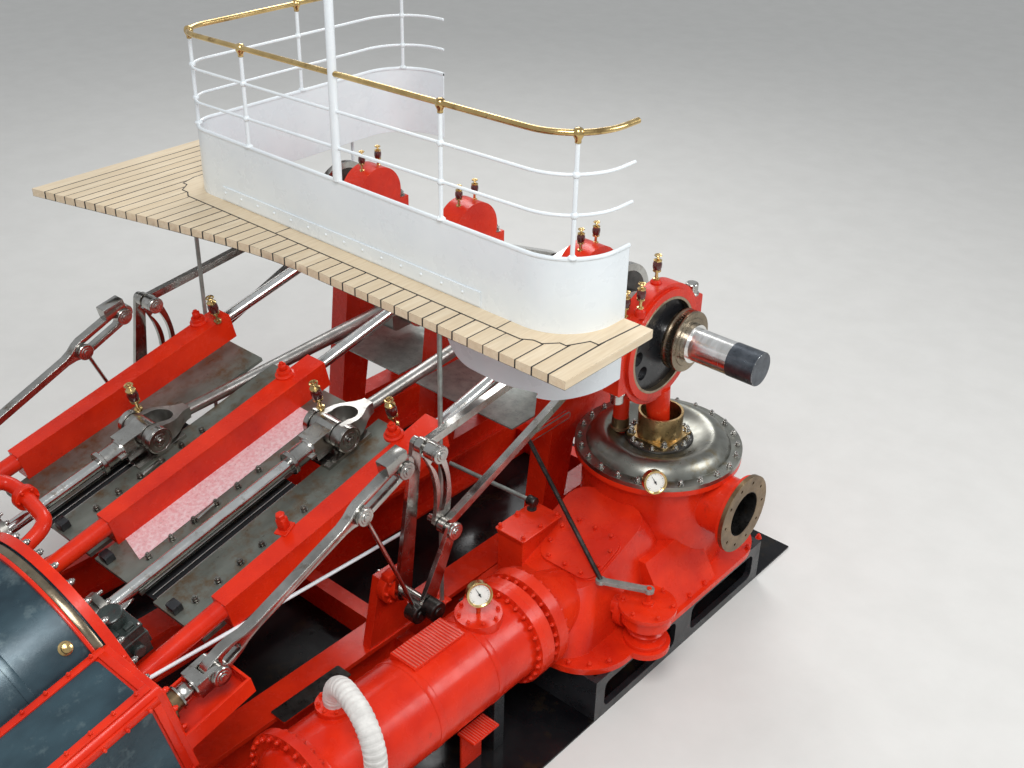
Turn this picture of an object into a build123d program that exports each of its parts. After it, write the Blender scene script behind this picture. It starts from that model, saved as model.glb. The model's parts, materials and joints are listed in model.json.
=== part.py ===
from build123d import *
import os
from math import cos, radians, sin, sqrt, tan

os.makedirs("parts", exist_ok=True)

# Layout of the engine, in millimetres; x runs along the crankshaft and z is up from the floor
shaft_height = 1815
incline_angle = 13
crank_radius = 470
high_crank_angle = -109
low_crank_angle = high_crank_angle + 90
rod_length = 2130
high_line = -455
low_line = 500
bearing_lines = (-910, 0, 1000)
pump_line = 1630

# Floor frames
girder_height = 340
girder_width = 200
girder_flange = 30
girder_web = 30
cross_girder_height = 190
girder_front = -4700
girder_back = 900
cross_girder_lines = (-4630, -3050, -1650, 600)

# Cylinders, measured back along the incline from the shaft
cylinder_face = 3460
flange_thickness = 50
low_flange_radius = 620
low_barrel_radius = 590
high_flange_radius = 310
high_barrel_radius = 275
barrel_length = 1020
ear_radius = 95

# Guide beams and tie rods
beam_top = 60
beam_depth = 175
beam_head = 1360
beam_foot = 2940
beam_head_width = 150
beam_foot_width = 110
tube_radius = 52
tie_radius = 38
pedestal_boss_face = 330

# Guide plates beside the slot of each piston rod
plate_thickness = 25
plate_head = 1420
plate_foot = 3080
slot_half_width = 55
plate_overlap = 30

# Running gear
piston_rod_radius = 37
crosshead_width = 130
crosshead_pin_radius = 42
arm_gap = 4
arm_width = 44
cap_radius = 82
cap_thickness = 34
shaft_radius = 110
bearing_width = 170
running_gap = 0.3
crank_pin_radius = 85
web_thickness = 90
web_gap = 190
big_end_width = 170

gland_radius = 80
gland_length = 130
gland_ring_radius = 112
gland_ring_thickness = 42
socket_radius = 58
socket_length = 330
shoe_top = -90
shoe_length = 340
shoe_width = 260
arm_inner = crosshead_width / 2 + arm_gap
arm_outer = arm_inner + arm_width
cap_inner = arm_outer + arm_gap
arm_eye_radius = 70
shank_radius = 36
shank_foot_radius = 50
big_end_reach = 190
big_end_height = 290
shaft_left_end = -1420

# Valve gear outside the outer bearings: pin places are given down the incline and above it
gear_lines = (-1200, 1290)
link_thickness = 28
rod_offset = 40
rod_width = 44
gear_pin_radius = 22
upper_pin = (1680, 235)
lower_pin = (1720, -296)
valve_pin = (3216, 50)
valve_eye = (2200, 200)
die_end = (1860, 270)
rocker_shaft = (2010, -645)
gear_throw = 75
gear_sheave_radius = 205
gear_strap_radius = 250

chest_length = 900
chest_reach = 145
chest_height = 620
chest_offset = 40
spindle_radius = 24
bracket_inset = 60
foot_distances = (3750, 4350)
foot_share = 1.2
foot_thickness = 60
tray_drop = 120
tray_depth = 100
tray_length = 390
tray_width = 290
tray_wall = 14
lubricator_line = 830

# Collar and journal of the free shaft end
collar_left = 1702
collar_thickness = 80
collar_radius = 185
step_length = 40
step_radius = 118
journal_radius = 100
shaft_end = 2260

# Pump at the shown end of the shaft
pump_throw = 140
sheave_radius = 284
sheave_width = 60
lining_radius = 300
strap_radius = 375
strap_rim_radius = 345
strap_width = 130
cover_height = 1065
cover_radius = 520
barrel_radius = 465
trunk_radius = 140
trunk_wall = 14
trunk_top = cover_height + 220
relief_place = (1410, -110)
relief_radius = 50
relief_top = shaft_height - 215
nozzle_height = cover_height - 245
nozzle_face = 2285
nozzle_flange_radius = 250
nozzle_bore_radius = 145
nozzle_flange_thickness = 26
nozzle_bolt_circle = 205
nozzle_bolt_count = 10
nozzle_hole_radius = 10

# Condenser
condenser_height = 560
base_flange_height = condenser_height - 260
base_flange_thickness = 40
base_flange_left = 1110
base_flange_right = 2220
base_flange_front = -1360
base_flange_back = 540
base_flange_corner = 330
condenser_line = 1720
condenser_radius = 262
condenser_flange_radius = 305
condenser_near_flange = -3060
condenser_far_flange = -1520
dome_rise = 110
spool_flange = -1400
body_line = 1640
body_width = 780
body_length = 1230
body_middle = -720
body_top = condenser_height + 190
body_top_width = 540
body_top_length = 680
body_top_middle = -760
body_slope = 20
hatch_width = 410
hatch_length = 350
hatch_middle = -835
hatch_thickness = 22
box_width = 210
box_length = 350
box_line = 1365
box_middle = -925
box_top = condenser_height + 240
valve_place = (2195, -840)
valve_top = condenser_height + 40
valve_branch_height = condenser_height - 90
valve_branch_radius = 98
valve_drum_radius = 145
lever_rise = 85
lever_end = (1940, -960)
reach_bracket = (-620, shaft_height - 685)
plinth_width = 1060
plinth_left = (base_flange_left + base_flange_right - plinth_width) / 2
plinth_tie_line = -410
plinth_length = 1760
saddle_lines = (-2700, -1800)
lag_radius = 53
lag_line = -2720
lag_seat = condenser_line - 75
lag_top = 200
lag_span = 450
lag_bend = 190
lag_turn = -17
gauge_line = -1760
boss_top = condenser_height + condenser_radius + 25
gauge_radius = 68
gauge_depth = 42

# Plates to step on: length and width, with the middle of each
girder_step = (480, 110)
girder_step_place = (bearing_lines[2] + 115, -2440)
crown_step = (370, 180, 70)
crown_step_place = (condenser_line - 40, -2105)
side_step = (200, 120)
side_step_place = (condenser_line + 210, -1985)
side_step_drop = 272
step_thickness = 12

# Tray on the floor and the plates under the cranks
tray_thickness = 12
tray_right = plinth_left + plinth_width
splash_height = shaft_height - 715
splash_thickness = 10
splash_front = -580
splash_back = 420

# Deck section, coaming and rails
deck_top = 2250
deck_thickness = 50
deck_front = -1453
deck_right = 1990
deck_left = -2050
coaming_front = -1153
coaming_left = -1350
coaming_right = 1795
coaming_thickness = 12
coaming_rise = 424
coaming_corner_radii = (330, 200, 350)
coaming_end_right = -720
coaming_end_left = -940
coaming_back = 770
deck_back_left = 380
deck_back_right = -743
deck_corner_cut = 150
flare_start = 110
flare_places = ((-730, -1558), (-1500, -1743))
apron_places = ((883, 50), (843, 310), (765, 378), (623, 401), (435, 397), (235, 370))
apron_end = 325
apron_room = 500
deck_strip_width = 60
deck_strip_depth = 14
deck_strip_front = -1400
deck_strip_left = -1900
rail_height = 1020
rail_slope = 1.3
rail_level_line = -720
rail_radius = 16
middle_rail_radius = 9
stanchion_radius = 12
stanchion_places = (
    (-1291, -1094),
    (-720, coaming_front),
    (880, coaming_front),
    (1694, -1060),
    (coaming_left, -197),
    (-1247, 667),
)
middle_rail_heights = (600, 810)
pillar_place = (70, coaming_front)
pillar_radius = 26
pillar_height = 1480
post_radius = 12
post_foot = 80
post_inset = 100

along = (cos(radians(incline_angle)), sin(radians(incline_angle)))


def side_view(x):
    """Upright plane at x: local x runs from the shaft down the incline, local y is square above it."""
    return Plane(origin=(x, 0, shaft_height), x_dir=(0, -along[0], -along[1]), z_dir=(-1, 0, 0))


def cross_view(x, distance, height=0):
    """Plane square to the incline, facing the cylinders: local x is athwart, local y above the incline."""
    return Plane(
        origin=(
            x,
            -distance * along[0] - height * along[1],
            shaft_height - distance * along[1] + height * along[0],
        ),
        x_dir=(1, 0, 0),
        z_dir=(0, -along[0], -along[1]),
    )


def plan_view(height):
    """Plane parallel to the incline: local x is athwart, local y runs up towards the shaft."""
    return Plane(
        origin=(0, -height * along[1], shaft_height + height * along[0]),
        x_dir=(1, 0, 0),
        z_dir=(0, -along[1], along[0]),
    )


def pin_point(angle):
    """Distance down the incline and height above it of a crank pin."""
    y = crank_radius * cos(radians(angle))
    z = crank_radius * sin(radians(angle))
    return (-y * along[0] - z * along[1], -y * along[1] + z * along[0])


def crosshead_distance(angle):
    """Distance of the crosshead pin from the shaft for a crank angle."""
    distance, height = pin_point(angle)
    return distance + sqrt(rod_length**2 - height**2)


def save(piece, label):
    piece.label = label
    export_step(piece, "parts/" + label + ".step")


# Bed frame of red girders on the floor
with BuildPart() as bed_frame:
    for line in bearing_lines:
        with BuildSketch(Plane.XZ.offset(-girder_back)):
            with Locations((line, girder_height / 2)):
                Rectangle(girder_web, girder_height)
            with Locations((line, girder_flange / 2), (line, girder_height - girder_flange / 2)):
                Rectangle(girder_width, girder_flange)
        extrude(amount=girder_back - girder_front)
    for line in cross_girder_lines:
        with Locations(((bearing_lines[0] + bearing_lines[2]) / 2, line, cross_girder_height / 2)):
            Box(bearing_lines[2] - bearing_lines[0] + girder_width, girder_width / 2, cross_girder_height)
    with Locations(((bearing_lines[2] + plinth_left) / 2, plinth_tie_line, cross_girder_height / 2)):
        Box(plinth_left - bearing_lines[2], girder_width / 2, cross_girder_height)
save(bed_frame.part, "bed_frame")

# Bearing pedestals, one on each girder
pedestal_width = 150
pedestal_foot = 900
pedestal_head = 560
cap_pad_height = 110
cap_pad_width = 85
cap_arch_height = 385
pedestals = []
bearing_caps = []
for line in bearing_lines:
    with BuildPart() as pedestal:
        with BuildSketch(Plane.YZ.offset(line)):
            with BuildLine():
                Polyline(
                    (-pedestal_foot / 2, girder_height),
                    (pedestal_foot / 2, girder_height),
                    (pedestal_head / 2, shaft_height),
                    (-pedestal_head / 2, shaft_height),
                    close=True,
                )
            make_face()
            with Locations((0, girder_height + 350)):
                Trapezoid(420, 420, 80, mode=Mode.SUBTRACT)
        extrude(amount=pedestal_width / 2, both=True)
        with BuildSketch(cross_view(line, pedestal_boss_face)):
            Circle(tie_radius + 40)
        extrude(amount=-pedestal_boss_face + shaft_radius + 60)
        with Locations(Location((line, 0, shaft_height), (0, 90, 0))):
            Cylinder(shaft_radius + running_gap, pedestal_width * 2, mode=Mode.SUBTRACT)
        split(bisect_by=Plane.XY.offset(shaft_height), keep=Keep.BOTTOM)
    pedestals.append(pedestal.part)
    with BuildPart() as bearing_cap:
        with BuildSketch(Plane.YZ.offset(line)):
            with BuildLine():
                pad_edge = pedestal_head / 2 - cap_pad_width
                pad_top = shaft_height + cap_pad_height
                Polyline(
                    (-pad_edge, pad_top),
                    (-pedestal_head / 2, pad_top),
                    (-pedestal_head / 2, shaft_height),
                    (pedestal_head / 2, shaft_height),
                    (pedestal_head / 2, pad_top),
                    (pad_edge, pad_top),
                )
                ThreePointArc((pad_edge, pad_top), (0, shaft_height + cap_arch_height), (-pad_edge, pad_top))
            make_face()
            with Locations((0, shaft_height)):
                Circle(shaft_radius + running_gap, mode=Mode.SUBTRACT)
        extrude(amount=bearing_width / 2, both=True)
    bearing_caps.append(bearing_cap.part)
save(Compound(children=pedestals), "pedestals")
save(Compound(children=bearing_caps), "bearing_caps")

# Guide beams with the round foot that bears on the cylinder flange, and the tie rods up to the shaft
guide_beams = []
tie_rods = []
for line in bearing_lines:
    with BuildPart() as guide_beam:
        with BuildSketch(plan_view(beam_top)):
            with BuildLine():
                Polyline(
                    (line - beam_head_width / 2, -beam_head),
                    (line + beam_head_width / 2, -beam_head),
                    (line + beam_foot_width / 2, -beam_foot),
                    (line - beam_foot_width / 2, -beam_foot),
                    close=True,
                )
            make_face()
        extrude(amount=-beam_depth)
        with BuildSketch(cross_view(line, beam_foot)):
            Circle(tube_radius)
        extrude(amount=cylinder_face - beam_foot)
    guide_beams.append(guide_beam.part)
    with BuildPart() as tie_rod:
        with BuildSketch(cross_view(line, pedestal_boss_face)):
            Circle(tie_radius)
        extrude(amount=beam_head - pedestal_boss_face)
    tie_rods.append(tie_rod.part)
save(Compound(children=guide_beams), "guide_beams")
save(Compound(children=tie_rods), "tie_rods")

# Grey guide plates bolted under the beams
with BuildPart() as guide_plates:
    for left, middle, right in (
        (bearing_lines[0], high_line, bearing_lines[1]),
        (bearing_lines[1], low_line, bearing_lines[2]),
    ):
        edges = (
            (left + beam_foot_width / 2 - plate_overlap, middle - slot_half_width),
            (middle + slot_half_width, right - beam_foot_width / 2 + plate_overlap),
        )
        with BuildSketch(plan_view(beam_top - beam_depth)):
            for inner, outer in edges:
                with Locations(((inner + outer) / 2, -(plate_head + plate_foot) / 2)):
                    Rectangle(outer - inner, plate_foot - plate_head)
        extrude(amount=-plate_thickness)
save(guide_plates.part, "guide_plates")

# Cylinders with their front flanges
for name, line, flange, barrel in (
    ("high_cylinder", high_line, high_flange_radius, high_barrel_radius),
    ("low_cylinder", low_line, low_flange_radius, low_barrel_radius),
):
    with BuildPart() as cylinder:
        with BuildSketch(cross_view(line, cylinder_face)):
            Circle(flange)
            if name == "high_cylinder":
                with Locations((bearing_lines[0] - line, 0)):
                    Circle(ear_radius)
                with Locations(((bearing_lines[0] - line) / 2, 0)):
                    Rectangle(abs(bearing_lines[0] - line), ear_radius * 2)
        extrude(amount=flange_thickness)
        with BuildSketch(cross_view(line, cylinder_face + flange_thickness)):
            Circle(barrel)
        extrude(amount=barrel_length)
        with BuildSketch(cross_view(line, cylinder_face + flange_thickness + barrel_length)):
            Circle(barrel - 50)
        extrude(amount=flange_thickness)
        with BuildSketch(cross_view(line, cylinder_face - 40)):
            Circle(piston_rod_radius + running_gap)
        extrude(amount=400, mode=Mode.SUBTRACT)
    save(cylinder.part, name)

# Glands, piston rods, crossheads and connecting rods
for name, line, angle in (("high", high_line, high_crank_angle), ("low", low_line, low_crank_angle)):
    centre = crosshead_distance(angle)
    socket_face = centre + socket_length
    with BuildPart() as gland:
        with BuildSketch(cross_view(line, cylinder_face)):
            Circle(gland_radius)
            Circle(piston_rod_radius + running_gap, mode=Mode.SUBTRACT)
        extrude(amount=-gland_length)
        with BuildSketch(cross_view(line, cylinder_face - gland_length)):
            Circle(gland_ring_radius)
            Circle(piston_rod_radius + running_gap, mode=Mode.SUBTRACT)
        extrude(amount=-gland_ring_thickness)
    save(gland.part, name + "_gland")

    with BuildPart() as piston_rod:
        with BuildSketch(cross_view(line, socket_face)):
            Circle(piston_rod_radius)
        extrude(amount=cylinder_face + 350 - socket_face)
    save(piston_rod.part, name + "_piston_rod")

    with BuildPart() as crosshead:
        with BuildSketch(cross_view(line, socket_face)):
            Circle(socket_radius)
        extrude(amount=-socket_length + 60)
        with BuildSketch(side_view(line)):
            with Locations((centre, 0)):
                Circle(78)
            with Locations((centre + 90, 0)):
                Rectangle(180, 130)
            with Locations((centre, (shoe_top + beam_top - beam_depth) / 2 + 30)):
                Rectangle(120, shoe_top - beam_top + beam_depth + 60)
        extrude(amount=crosshead_width / 2, both=True)
        with BuildSketch(side_view(line)):
            with Locations((centre, (shoe_top + beam_top - beam_depth) / 2)):
                Rectangle(shoe_length, shoe_top - beam_top + beam_depth)
        extrude(amount=shoe_width / 2, both=True)
        with BuildSketch(side_view(line)):
            with Locations((centre, 0)):
                Circle(crosshead_pin_radius)
        extrude(amount=cap_inner + cap_thickness, both=True)
        for side in (-1, 1):
            with BuildSketch(side_view(line + side * cap_inner)):
                with Locations((centre, 0)):
                    Circle(cap_radius)
            extrude(amount=-side * cap_thickness)
    save(crosshead.part, name + "_crosshead")

    pin_distance, pin_height = pin_point(angle)
    start = side_view(line).from_local_coords(Vector(centre, 0, 0))
    finish = side_view(line).from_local_coords(Vector(pin_distance, pin_height, 0))
    rod_frame = Plane(origin=start, x_dir=(1, 0, 0), z_dir=finish - start)
    with BuildPart() as connecting_rod:
        with BuildSketch(Plane.XZ):
            with BuildLine():
                fork_side = Line((arm_outer, -arm_eye_radius), (arm_outer, 90))
                fork_curve = Spline(fork_side @ 1, (shank_radius, 300), tangents=((0, 1), (-0.05, 1)))
                Line(fork_curve @ 1, (0, 300))
                mirror(about=Plane.YZ)
                Line((arm_outer, -arm_eye_radius), (-arm_outer, -arm_eye_radius))
            make_face()
            with BuildLine(mode=Mode.PRIVATE) as opening:
                Line((arm_inner, -arm_eye_radius - 1), (arm_inner, 80))
                ThreePointArc((arm_inner, 80), (0, 190), (-arm_inner, 80))
                Line((-arm_inner, 80), (-arm_inner, -arm_eye_radius - 1))
                Line((-arm_inner, -arm_eye_radius - 1), (arm_inner, -arm_eye_radius - 1))
            make_face(opening.edges(), mode=Mode.SUBTRACT)
        extrude(amount=arm_eye_radius, both=True)
        with BuildSketch(Plane.YZ):
            Circle(arm_eye_radius)
            with BuildLine():
                Polyline(
                    (arm_eye_radius, 0),
                    (shank_radius, 300),
                    (-shank_radius, 300),
                    (-arm_eye_radius, 0),
                    close=True,
                )
            make_face()
            Circle(crosshead_pin_radius + running_gap, mode=Mode.SUBTRACT)
        extrude(amount=arm_outer, both=True, mode=Mode.INTERSECT)
        with BuildSketch(Plane.XY.offset(290)):
            Circle(shank_radius)
        with BuildSketch(Plane.XY.offset(rod_length - big_end_reach)):
            Circle(shank_foot_radius)
        loft()
        with BuildSketch(Plane.YZ):
            with Locations((0, rod_length)):
                RectangleRounded(big_end_height, big_end_reach * 2, 40)
                Circle(crank_pin_radius + running_gap, mode=Mode.SUBTRACT)
        extrude(amount=big_end_width / 2, both=True)
    save(connecting_rod.part.moved(rod_frame.location), name + "_connecting_rod")

# Crankshaft in one piece, with the long free end at the right
with BuildPart() as crankshaft:
    step_left = collar_left + collar_thickness
    journal_left = step_left + step_length
    shaft_runs = (
        (shaft_left_end, high_line - web_gap / 2, shaft_radius),
        (high_line + web_gap / 2, low_line - web_gap / 2, shaft_radius),
        (low_line + web_gap / 2, collar_left, shaft_radius),
        (collar_left, step_left, collar_radius),
        (step_left, journal_left, step_radius),
        (journal_left, shaft_end, journal_radius),
    )
    for left, right, radius in shaft_runs:
        with BuildSketch(Plane.YZ.offset(left)):
            with Locations((0, shaft_height)):
                Circle(radius)
        extrude(amount=right - left)
    for line, angle in ((high_line, high_crank_angle), (low_line, low_crank_angle)):
        pin_y = crank_radius * cos(radians(angle))
        pin_z = shaft_height + crank_radius * sin(radians(angle))
        for left in (line - web_gap / 2 - web_thickness, line + web_gap / 2):
            with BuildSketch(Plane.YZ.offset(left)):
                with Locations((0, shaft_height)):
                    Circle(shaft_radius + 55)
                with Locations((pin_y, pin_z)):
                    Circle(crank_pin_radius + 45)
                make_hull()
            extrude(amount=web_thickness)
        with BuildSketch(Plane.YZ.offset(line - web_gap / 2)):
            with Locations((pin_y, pin_z)):
                Circle(crank_pin_radius)
        extrude(amount=web_gap)
save(crankshaft.part, "crankshaft")

# Pump eccentric, its lining, its strap and the rod that goes down into the trunk
with BuildPart() as pump_sheave:
    with BuildSketch(Plane.YZ.offset(pump_line)):
        with Locations((-pump_throw, shaft_height)):
            Circle(sheave_radius)
            with PolarLocations(205, 3, 150, 110):
                Circle(44, mode=Mode.SUBTRACT)
        with Locations((0, shaft_height)):
            Circle(shaft_radius + running_gap, mode=Mode.SUBTRACT)
    extrude(amount=sheave_width / 2, both=True)
save(pump_sheave.part, "pump_sheave")

with BuildPart() as strap_lining:
    with BuildSketch(Plane.YZ.offset(pump_line)):
        with Locations((-pump_throw, shaft_height)):
            Circle(lining_radius)
            Circle(sheave_radius + running_gap, mode=Mode.SUBTRACT)
    extrude(amount=strap_width / 2, both=True)
save(strap_lining.part, "strap_lining")

with BuildPart() as pump_strap:
    with BuildSketch(Plane.YZ.offset(pump_line - strap_width / 2)):
        with Locations((-pump_throw, shaft_height)):
            Circle(strap_radius)
            with Locations((-strap_radius + 35, 0), (strap_radius - 35, 0)):
                RectangleRounded(130, 380, 20)
    extrude(amount=strap_width - 20)
    with BuildSketch(Plane.YZ.offset(pump_line + strap_width / 2 - 20)):
        with Locations((-pump_throw, shaft_height)):
            Circle(strap_rim_radius)
    extrude(amount=20)
    rod_foot = trunk_top - 160
    rod_head = shaft_height - strap_radius + 45
    rod_lean = pump_throw / (shaft_height - rod_foot)
    with BuildSketch(Plane.XY.offset(rod_foot)):
        with Locations((pump_line, 0)):
            Circle(62)
    with BuildSketch(Plane.XY.offset(rod_head)):
        with Locations((pump_line, -(rod_head - rod_foot) * rod_lean)):
            Circle(82)
    loft()
    with BuildSketch(Plane.YZ.offset(pump_line)):
        with Locations((-pump_throw, shaft_height)):
            Circle(lining_radius + running_gap)
    extrude(amount=strap_width, both=True, mode=Mode.SUBTRACT)
save(pump_strap.part, "pump_strap")

# Air pump: barrel with the side nozzle, bulged cover, brass trunk and bronze nozzle flange
with BuildPart() as pump_barrel:
    with BuildSketch(Plane.XY.offset(base_flange_height + base_flange_thickness)):
        with Locations((pump_line, 0)):
            Circle(barrel_radius)
    extrude(amount=cover_height - 30 - base_flange_height - base_flange_thickness)
    with BuildSketch(Plane.XY.offset(cover_height - 65)):
        with Locations((pump_line, 0)):
            Circle(cover_radius)
    extrude(amount=35)
    with BuildSketch(Plane.YZ.offset(pump_line + 200)):
        with Locations((0, nozzle_height)):
            Circle(nozzle_bore_radius + 40)
    extrude(amount=nozzle_face - nozzle_flange_thickness * 2 - pump_line - 200)
    with BuildSketch(Plane.YZ.offset(nozzle_face - nozzle_flange_thickness * 2)):
        with Locations((0, nozzle_height)):
            Circle(nozzle_flange_radius - 15)
            with PolarLocations(nozzle_bolt_circle, nozzle_bolt_count):
                Circle(nozzle_hole_radius, mode=Mode.SUBTRACT)
    extrude(amount=nozzle_flange_thickness)
    with BuildSketch(Plane.YZ.offset(nozzle_face - 300)):
        with Locations((0, nozzle_height)):
            Circle(nozzle_bore_radius)
    extrude(amount=300, mode=Mode.SUBTRACT)
save(pump_barrel.part, "pump_barrel")

with BuildPart() as nozzle_flange:
    with BuildSketch(Plane.YZ.offset(nozzle_face - nozzle_flange_thickness)):
        with Locations((0, nozzle_height)):
            Circle(nozzle_flange_radius)
            Circle(nozzle_bore_radius, mode=Mode.SUBTRACT)
            with PolarLocations(nozzle_bolt_circle, nozzle_bolt_count):
                Circle(nozzle_hole_radius, mode=Mode.SUBTRACT)
    extrude(amount=nozzle_flange_thickness)
save(nozzle_flange.part, "nozzle_flange")

with BuildPart() as pump_cover:
    with BuildSketch(Plane.XZ) as cover_section:
        with BuildLine():
            Line((0, cover_height - 30), (cover_radius, cover_height - 30))
            Line((cover_radius, cover_height - 30), (cover_radius, cover_height))
            Line((cover_radius, cover_height), (cover_radius - 70, cover_height))
            rise = Spline(
                (cover_radius - 70, cover_height),
                (cover_radius - 175, cover_height + 82),
                (trunk_radius + 75, cover_height + 35),
                tangents=((-0.4, 1), (-1, -0.2)),
            )
            Line(rise @ 1, (0, cover_height + 35))
            Line((0, cover_height + 35), (0, cover_height - 30))
        make_face()
    revolve(axis=Axis.Z)
save(pump_cover.part.moved(Location((pump_line, 0, 0))), "pump_cover")

with BuildPart() as pump_trunk:
    with BuildSketch(Plane.XY.offset(cover_height + 35)):
        with Locations((pump_line, 0)):
            RectangleRounded(trunk_radius * 2 + 20, trunk_radius * 2 + 20, 24)
            Circle(trunk_radius - trunk_wall, mode=Mode.SUBTRACT)
    extrude(amount=28)
    with BuildSketch(Plane.XY.offset(cover_height + 63)):
        with Locations((pump_line, 0)):
            Circle(trunk_radius)
            Circle(trunk_radius - trunk_wall, mode=Mode.SUBTRACT)
    extrude(amount=trunk_top - cover_height - 63)
save(pump_trunk.part, "pump_trunk")

with BuildPart() as relief_pipe:
    with BuildSketch(Plane.XY.offset(cover_height + 30)):
        with Locations(relief_place):
            Circle(relief_radius)
    extrude(amount=relief_top - cover_height - 30)
    with BuildSketch(Plane.XY.offset(relief_top - 25)):
        with Locations(relief_place):
            Circle(relief_radius - 8)
    extrude(amount=50)
    add(pump_cover.part.moved(Location((pump_line, 0, 0))), mode=Mode.SUBTRACT)
save(relief_pipe.part, "relief_pipe")

# Jet condenser casting on its black plinth
base_line = (base_flange_left + base_flange_right) / 2
base_middle = (base_flange_front + base_flange_back) / 2
base_width = base_flange_right - base_flange_left
base_length = base_flange_back - base_flange_front
slope_view = Plane(
    origin=(body_line, body_top_middle, body_top),
    x_dir=(1, 0, 0),
    z_dir=(0, -sin(radians(body_slope)), cos(radians(body_slope))),
)
base_top = base_flange_height + base_flange_thickness
with BuildPart() as condenser_casting:
    with BuildSketch(Plane.XY.offset(base_flange_height)):
        with Locations((base_line, base_middle)):
            RectangleRounded(base_width, base_length, base_flange_corner)
        with Locations(valve_place):
            Circle(150)
    extrude(amount=base_flange_thickness)
    with BuildSketch(Plane.XY.offset(base_top)):
        with Locations((body_line, body_middle)):
            RectangleRounded(body_width, body_length, 200)
    with BuildSketch(slope_view):
        RectangleRounded(body_top_width, body_top_length, 150)
    loft()
    with BuildSketch(slope_view):
        with Locations((hatch_width / 8, (hatch_middle - body_top_middle) / cos(radians(body_slope)))):
            RectangleRounded(hatch_width, hatch_length, 90)
    extrude(amount=hatch_thickness)
    with BuildSketch(Plane.XY.offset(base_top)):
        with Locations((box_line, box_middle)):
            Rectangle(box_width - 20, box_length - 20)
    extrude(amount=box_top - base_top)
    with BuildSketch(Plane.XY.offset(box_top - 18)):
        with Locations((box_line, box_middle)):
            RectangleRounded(box_width, box_length, 15)
    extrude(amount=18)
    with BuildSketch(Plane.XZ.offset(600)):
        with BuildLine():
            Polyline(
                (body_line, base_top),
                (base_flange_right - 30, base_top),
                (body_line + body_width / 2 - 30, condenser_height + 80),
                (body_line, condenser_height + 80),
                close=True,
            )
        make_face()
    extrude(amount=-520)
    for face, radius, length in (
        (condenser_far_flange, condenser_flange_radius, flange_thickness),
        (condenser_far_flange, condenser_radius - 12, spool_flange - condenser_far_flange),
        (spool_flange - flange_thickness / 2, condenser_flange_radius, flange_thickness * 1.5),
    ):
        with BuildSketch(Plane.XZ.offset(-face)):
            with Locations((condenser_line, condenser_height)):
                Circle(radius)
        extrude(amount=-length)
    with BuildSketch(Plane.XZ.offset(-spool_flange - flange_thickness)):
        with Locations((condenser_line, condenser_height)):
            Circle(condenser_radius - 20)
    with BuildSketch(Plane.XZ.offset(-spool_flange - 400)):
        with Locations((condenser_line, condenser_height - 60)):
            Circle(condenser_radius - 90)
    loft()
    branch_face = valve_place[0] - valve_drum_radius
    with BuildSketch(Plane.YZ.offset(branch_face - 28)):
        with Locations((valve_place[1], valve_branch_height)):
            Circle(valve_branch_radius)
    extrude(amount=28 - running_gap)
    with BuildSketch(Plane.YZ.offset(body_line)):
        with Locations((valve_place[1], valve_branch_height)):
            Circle(62)
    extrude(amount=branch_face - 28 - body_line)
    with BuildSketch(Plane.XY.offset(base_top)):
        with Locations((pump_line, 0)):
            Circle(barrel_radius + running_gap)
    extrude(amount=900, mode=Mode.SUBTRACT)
save(condenser_casting.part, "condenser_casting")

# Injection valve beside the casting, turned about its upright spindle, and its lever and reach rod
with BuildPart() as injection_valve:
    with BuildSketch(Plane.XZ):
        with BuildLine():
            Polyline(
                (0, base_top),
                (125, base_top),
                (125, base_top + 28),
                (84, base_top + 34),
                (84, base_top + 62),
                (112, base_top + 84),
                (84, base_top + 106),
                (84, base_top + 124),
                (valve_drum_radius, base_top + 148),
                (valve_drum_radius, valve_top - 26),
                (168, valve_top - 26),
                (168, valve_top),
                (34, valve_top),
                (34, valve_top + 18),
                (14, valve_top + 18),
                (14, valve_top + lever_rise + 30),
                (0, valve_top + lever_rise + 30),
                close=True,
            )
        make_face()
    revolve(axis=Axis.Z)
    with BuildSketch(Plane.YZ.offset(-valve_drum_radius)):
        with Locations((0, valve_branch_height)):
            Circle(valve_branch_radius)
    extrude(amount=24)
save(injection_valve.part.moved(Location((*valve_place, 0))), "injection_valve")

lever_height = valve_top + lever_rise
with BuildPart() as injection_lever:
    with BuildSketch(Plane.XY.offset(lever_height)):
        with Locations(valve_place, lever_end):
            Circle(20)
        make_hull()
        with Locations(valve_place, lever_end):
            Circle(30)
        with Locations(valve_place):
            Circle(14 + running_gap, mode=Mode.SUBTRACT)
    extrude(amount=24)
    rod_start = Vector(*lever_end, lever_height + 20)
    rod_finish = Vector(bearing_lines[2] + pedestal_width / 2 + 15, *reach_bracket)
    with BuildSketch(Plane(origin=rod_start, z_dir=rod_finish - rod_start)):
        Circle(13)
    extrude(amount=(rod_finish - rod_start).length)
    with BuildSketch(Plane.YZ.offset(bearing_lines[2] + pedestal_width / 2)):
        with Locations(((reach_bracket[0] - 250) / 2, reach_bracket[1])):
            RectangleRounded(abs(reach_bracket[0] + 250) + 50, 50, 20)
    extrude(amount=30)
save(injection_lever.part, "injection_lever")

with BuildPart() as plinth:
    with BuildSketch(Plane.XY):
        with Locations((base_line, base_middle)):
            Rectangle(plinth_width, plinth_length)
            Rectangle(plinth_width - 80, plinth_length - 80, mode=Mode.SUBTRACT)
            Rectangle(plinth_width, 40)
    extrude(amount=base_flange_height)
    with BuildSketch(Plane.YZ):
        with Locations((base_middle, base_flange_height / 2)):
            with GridLocations(plinth_length / 2, 0, 2, 1):
                RectangleRounded(plinth_length / 2 - 170, base_flange_height - 110, 50)
    extrude(amount=4000, mode=Mode.SUBTRACT)
save(plinth.part, "plinth")

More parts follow.
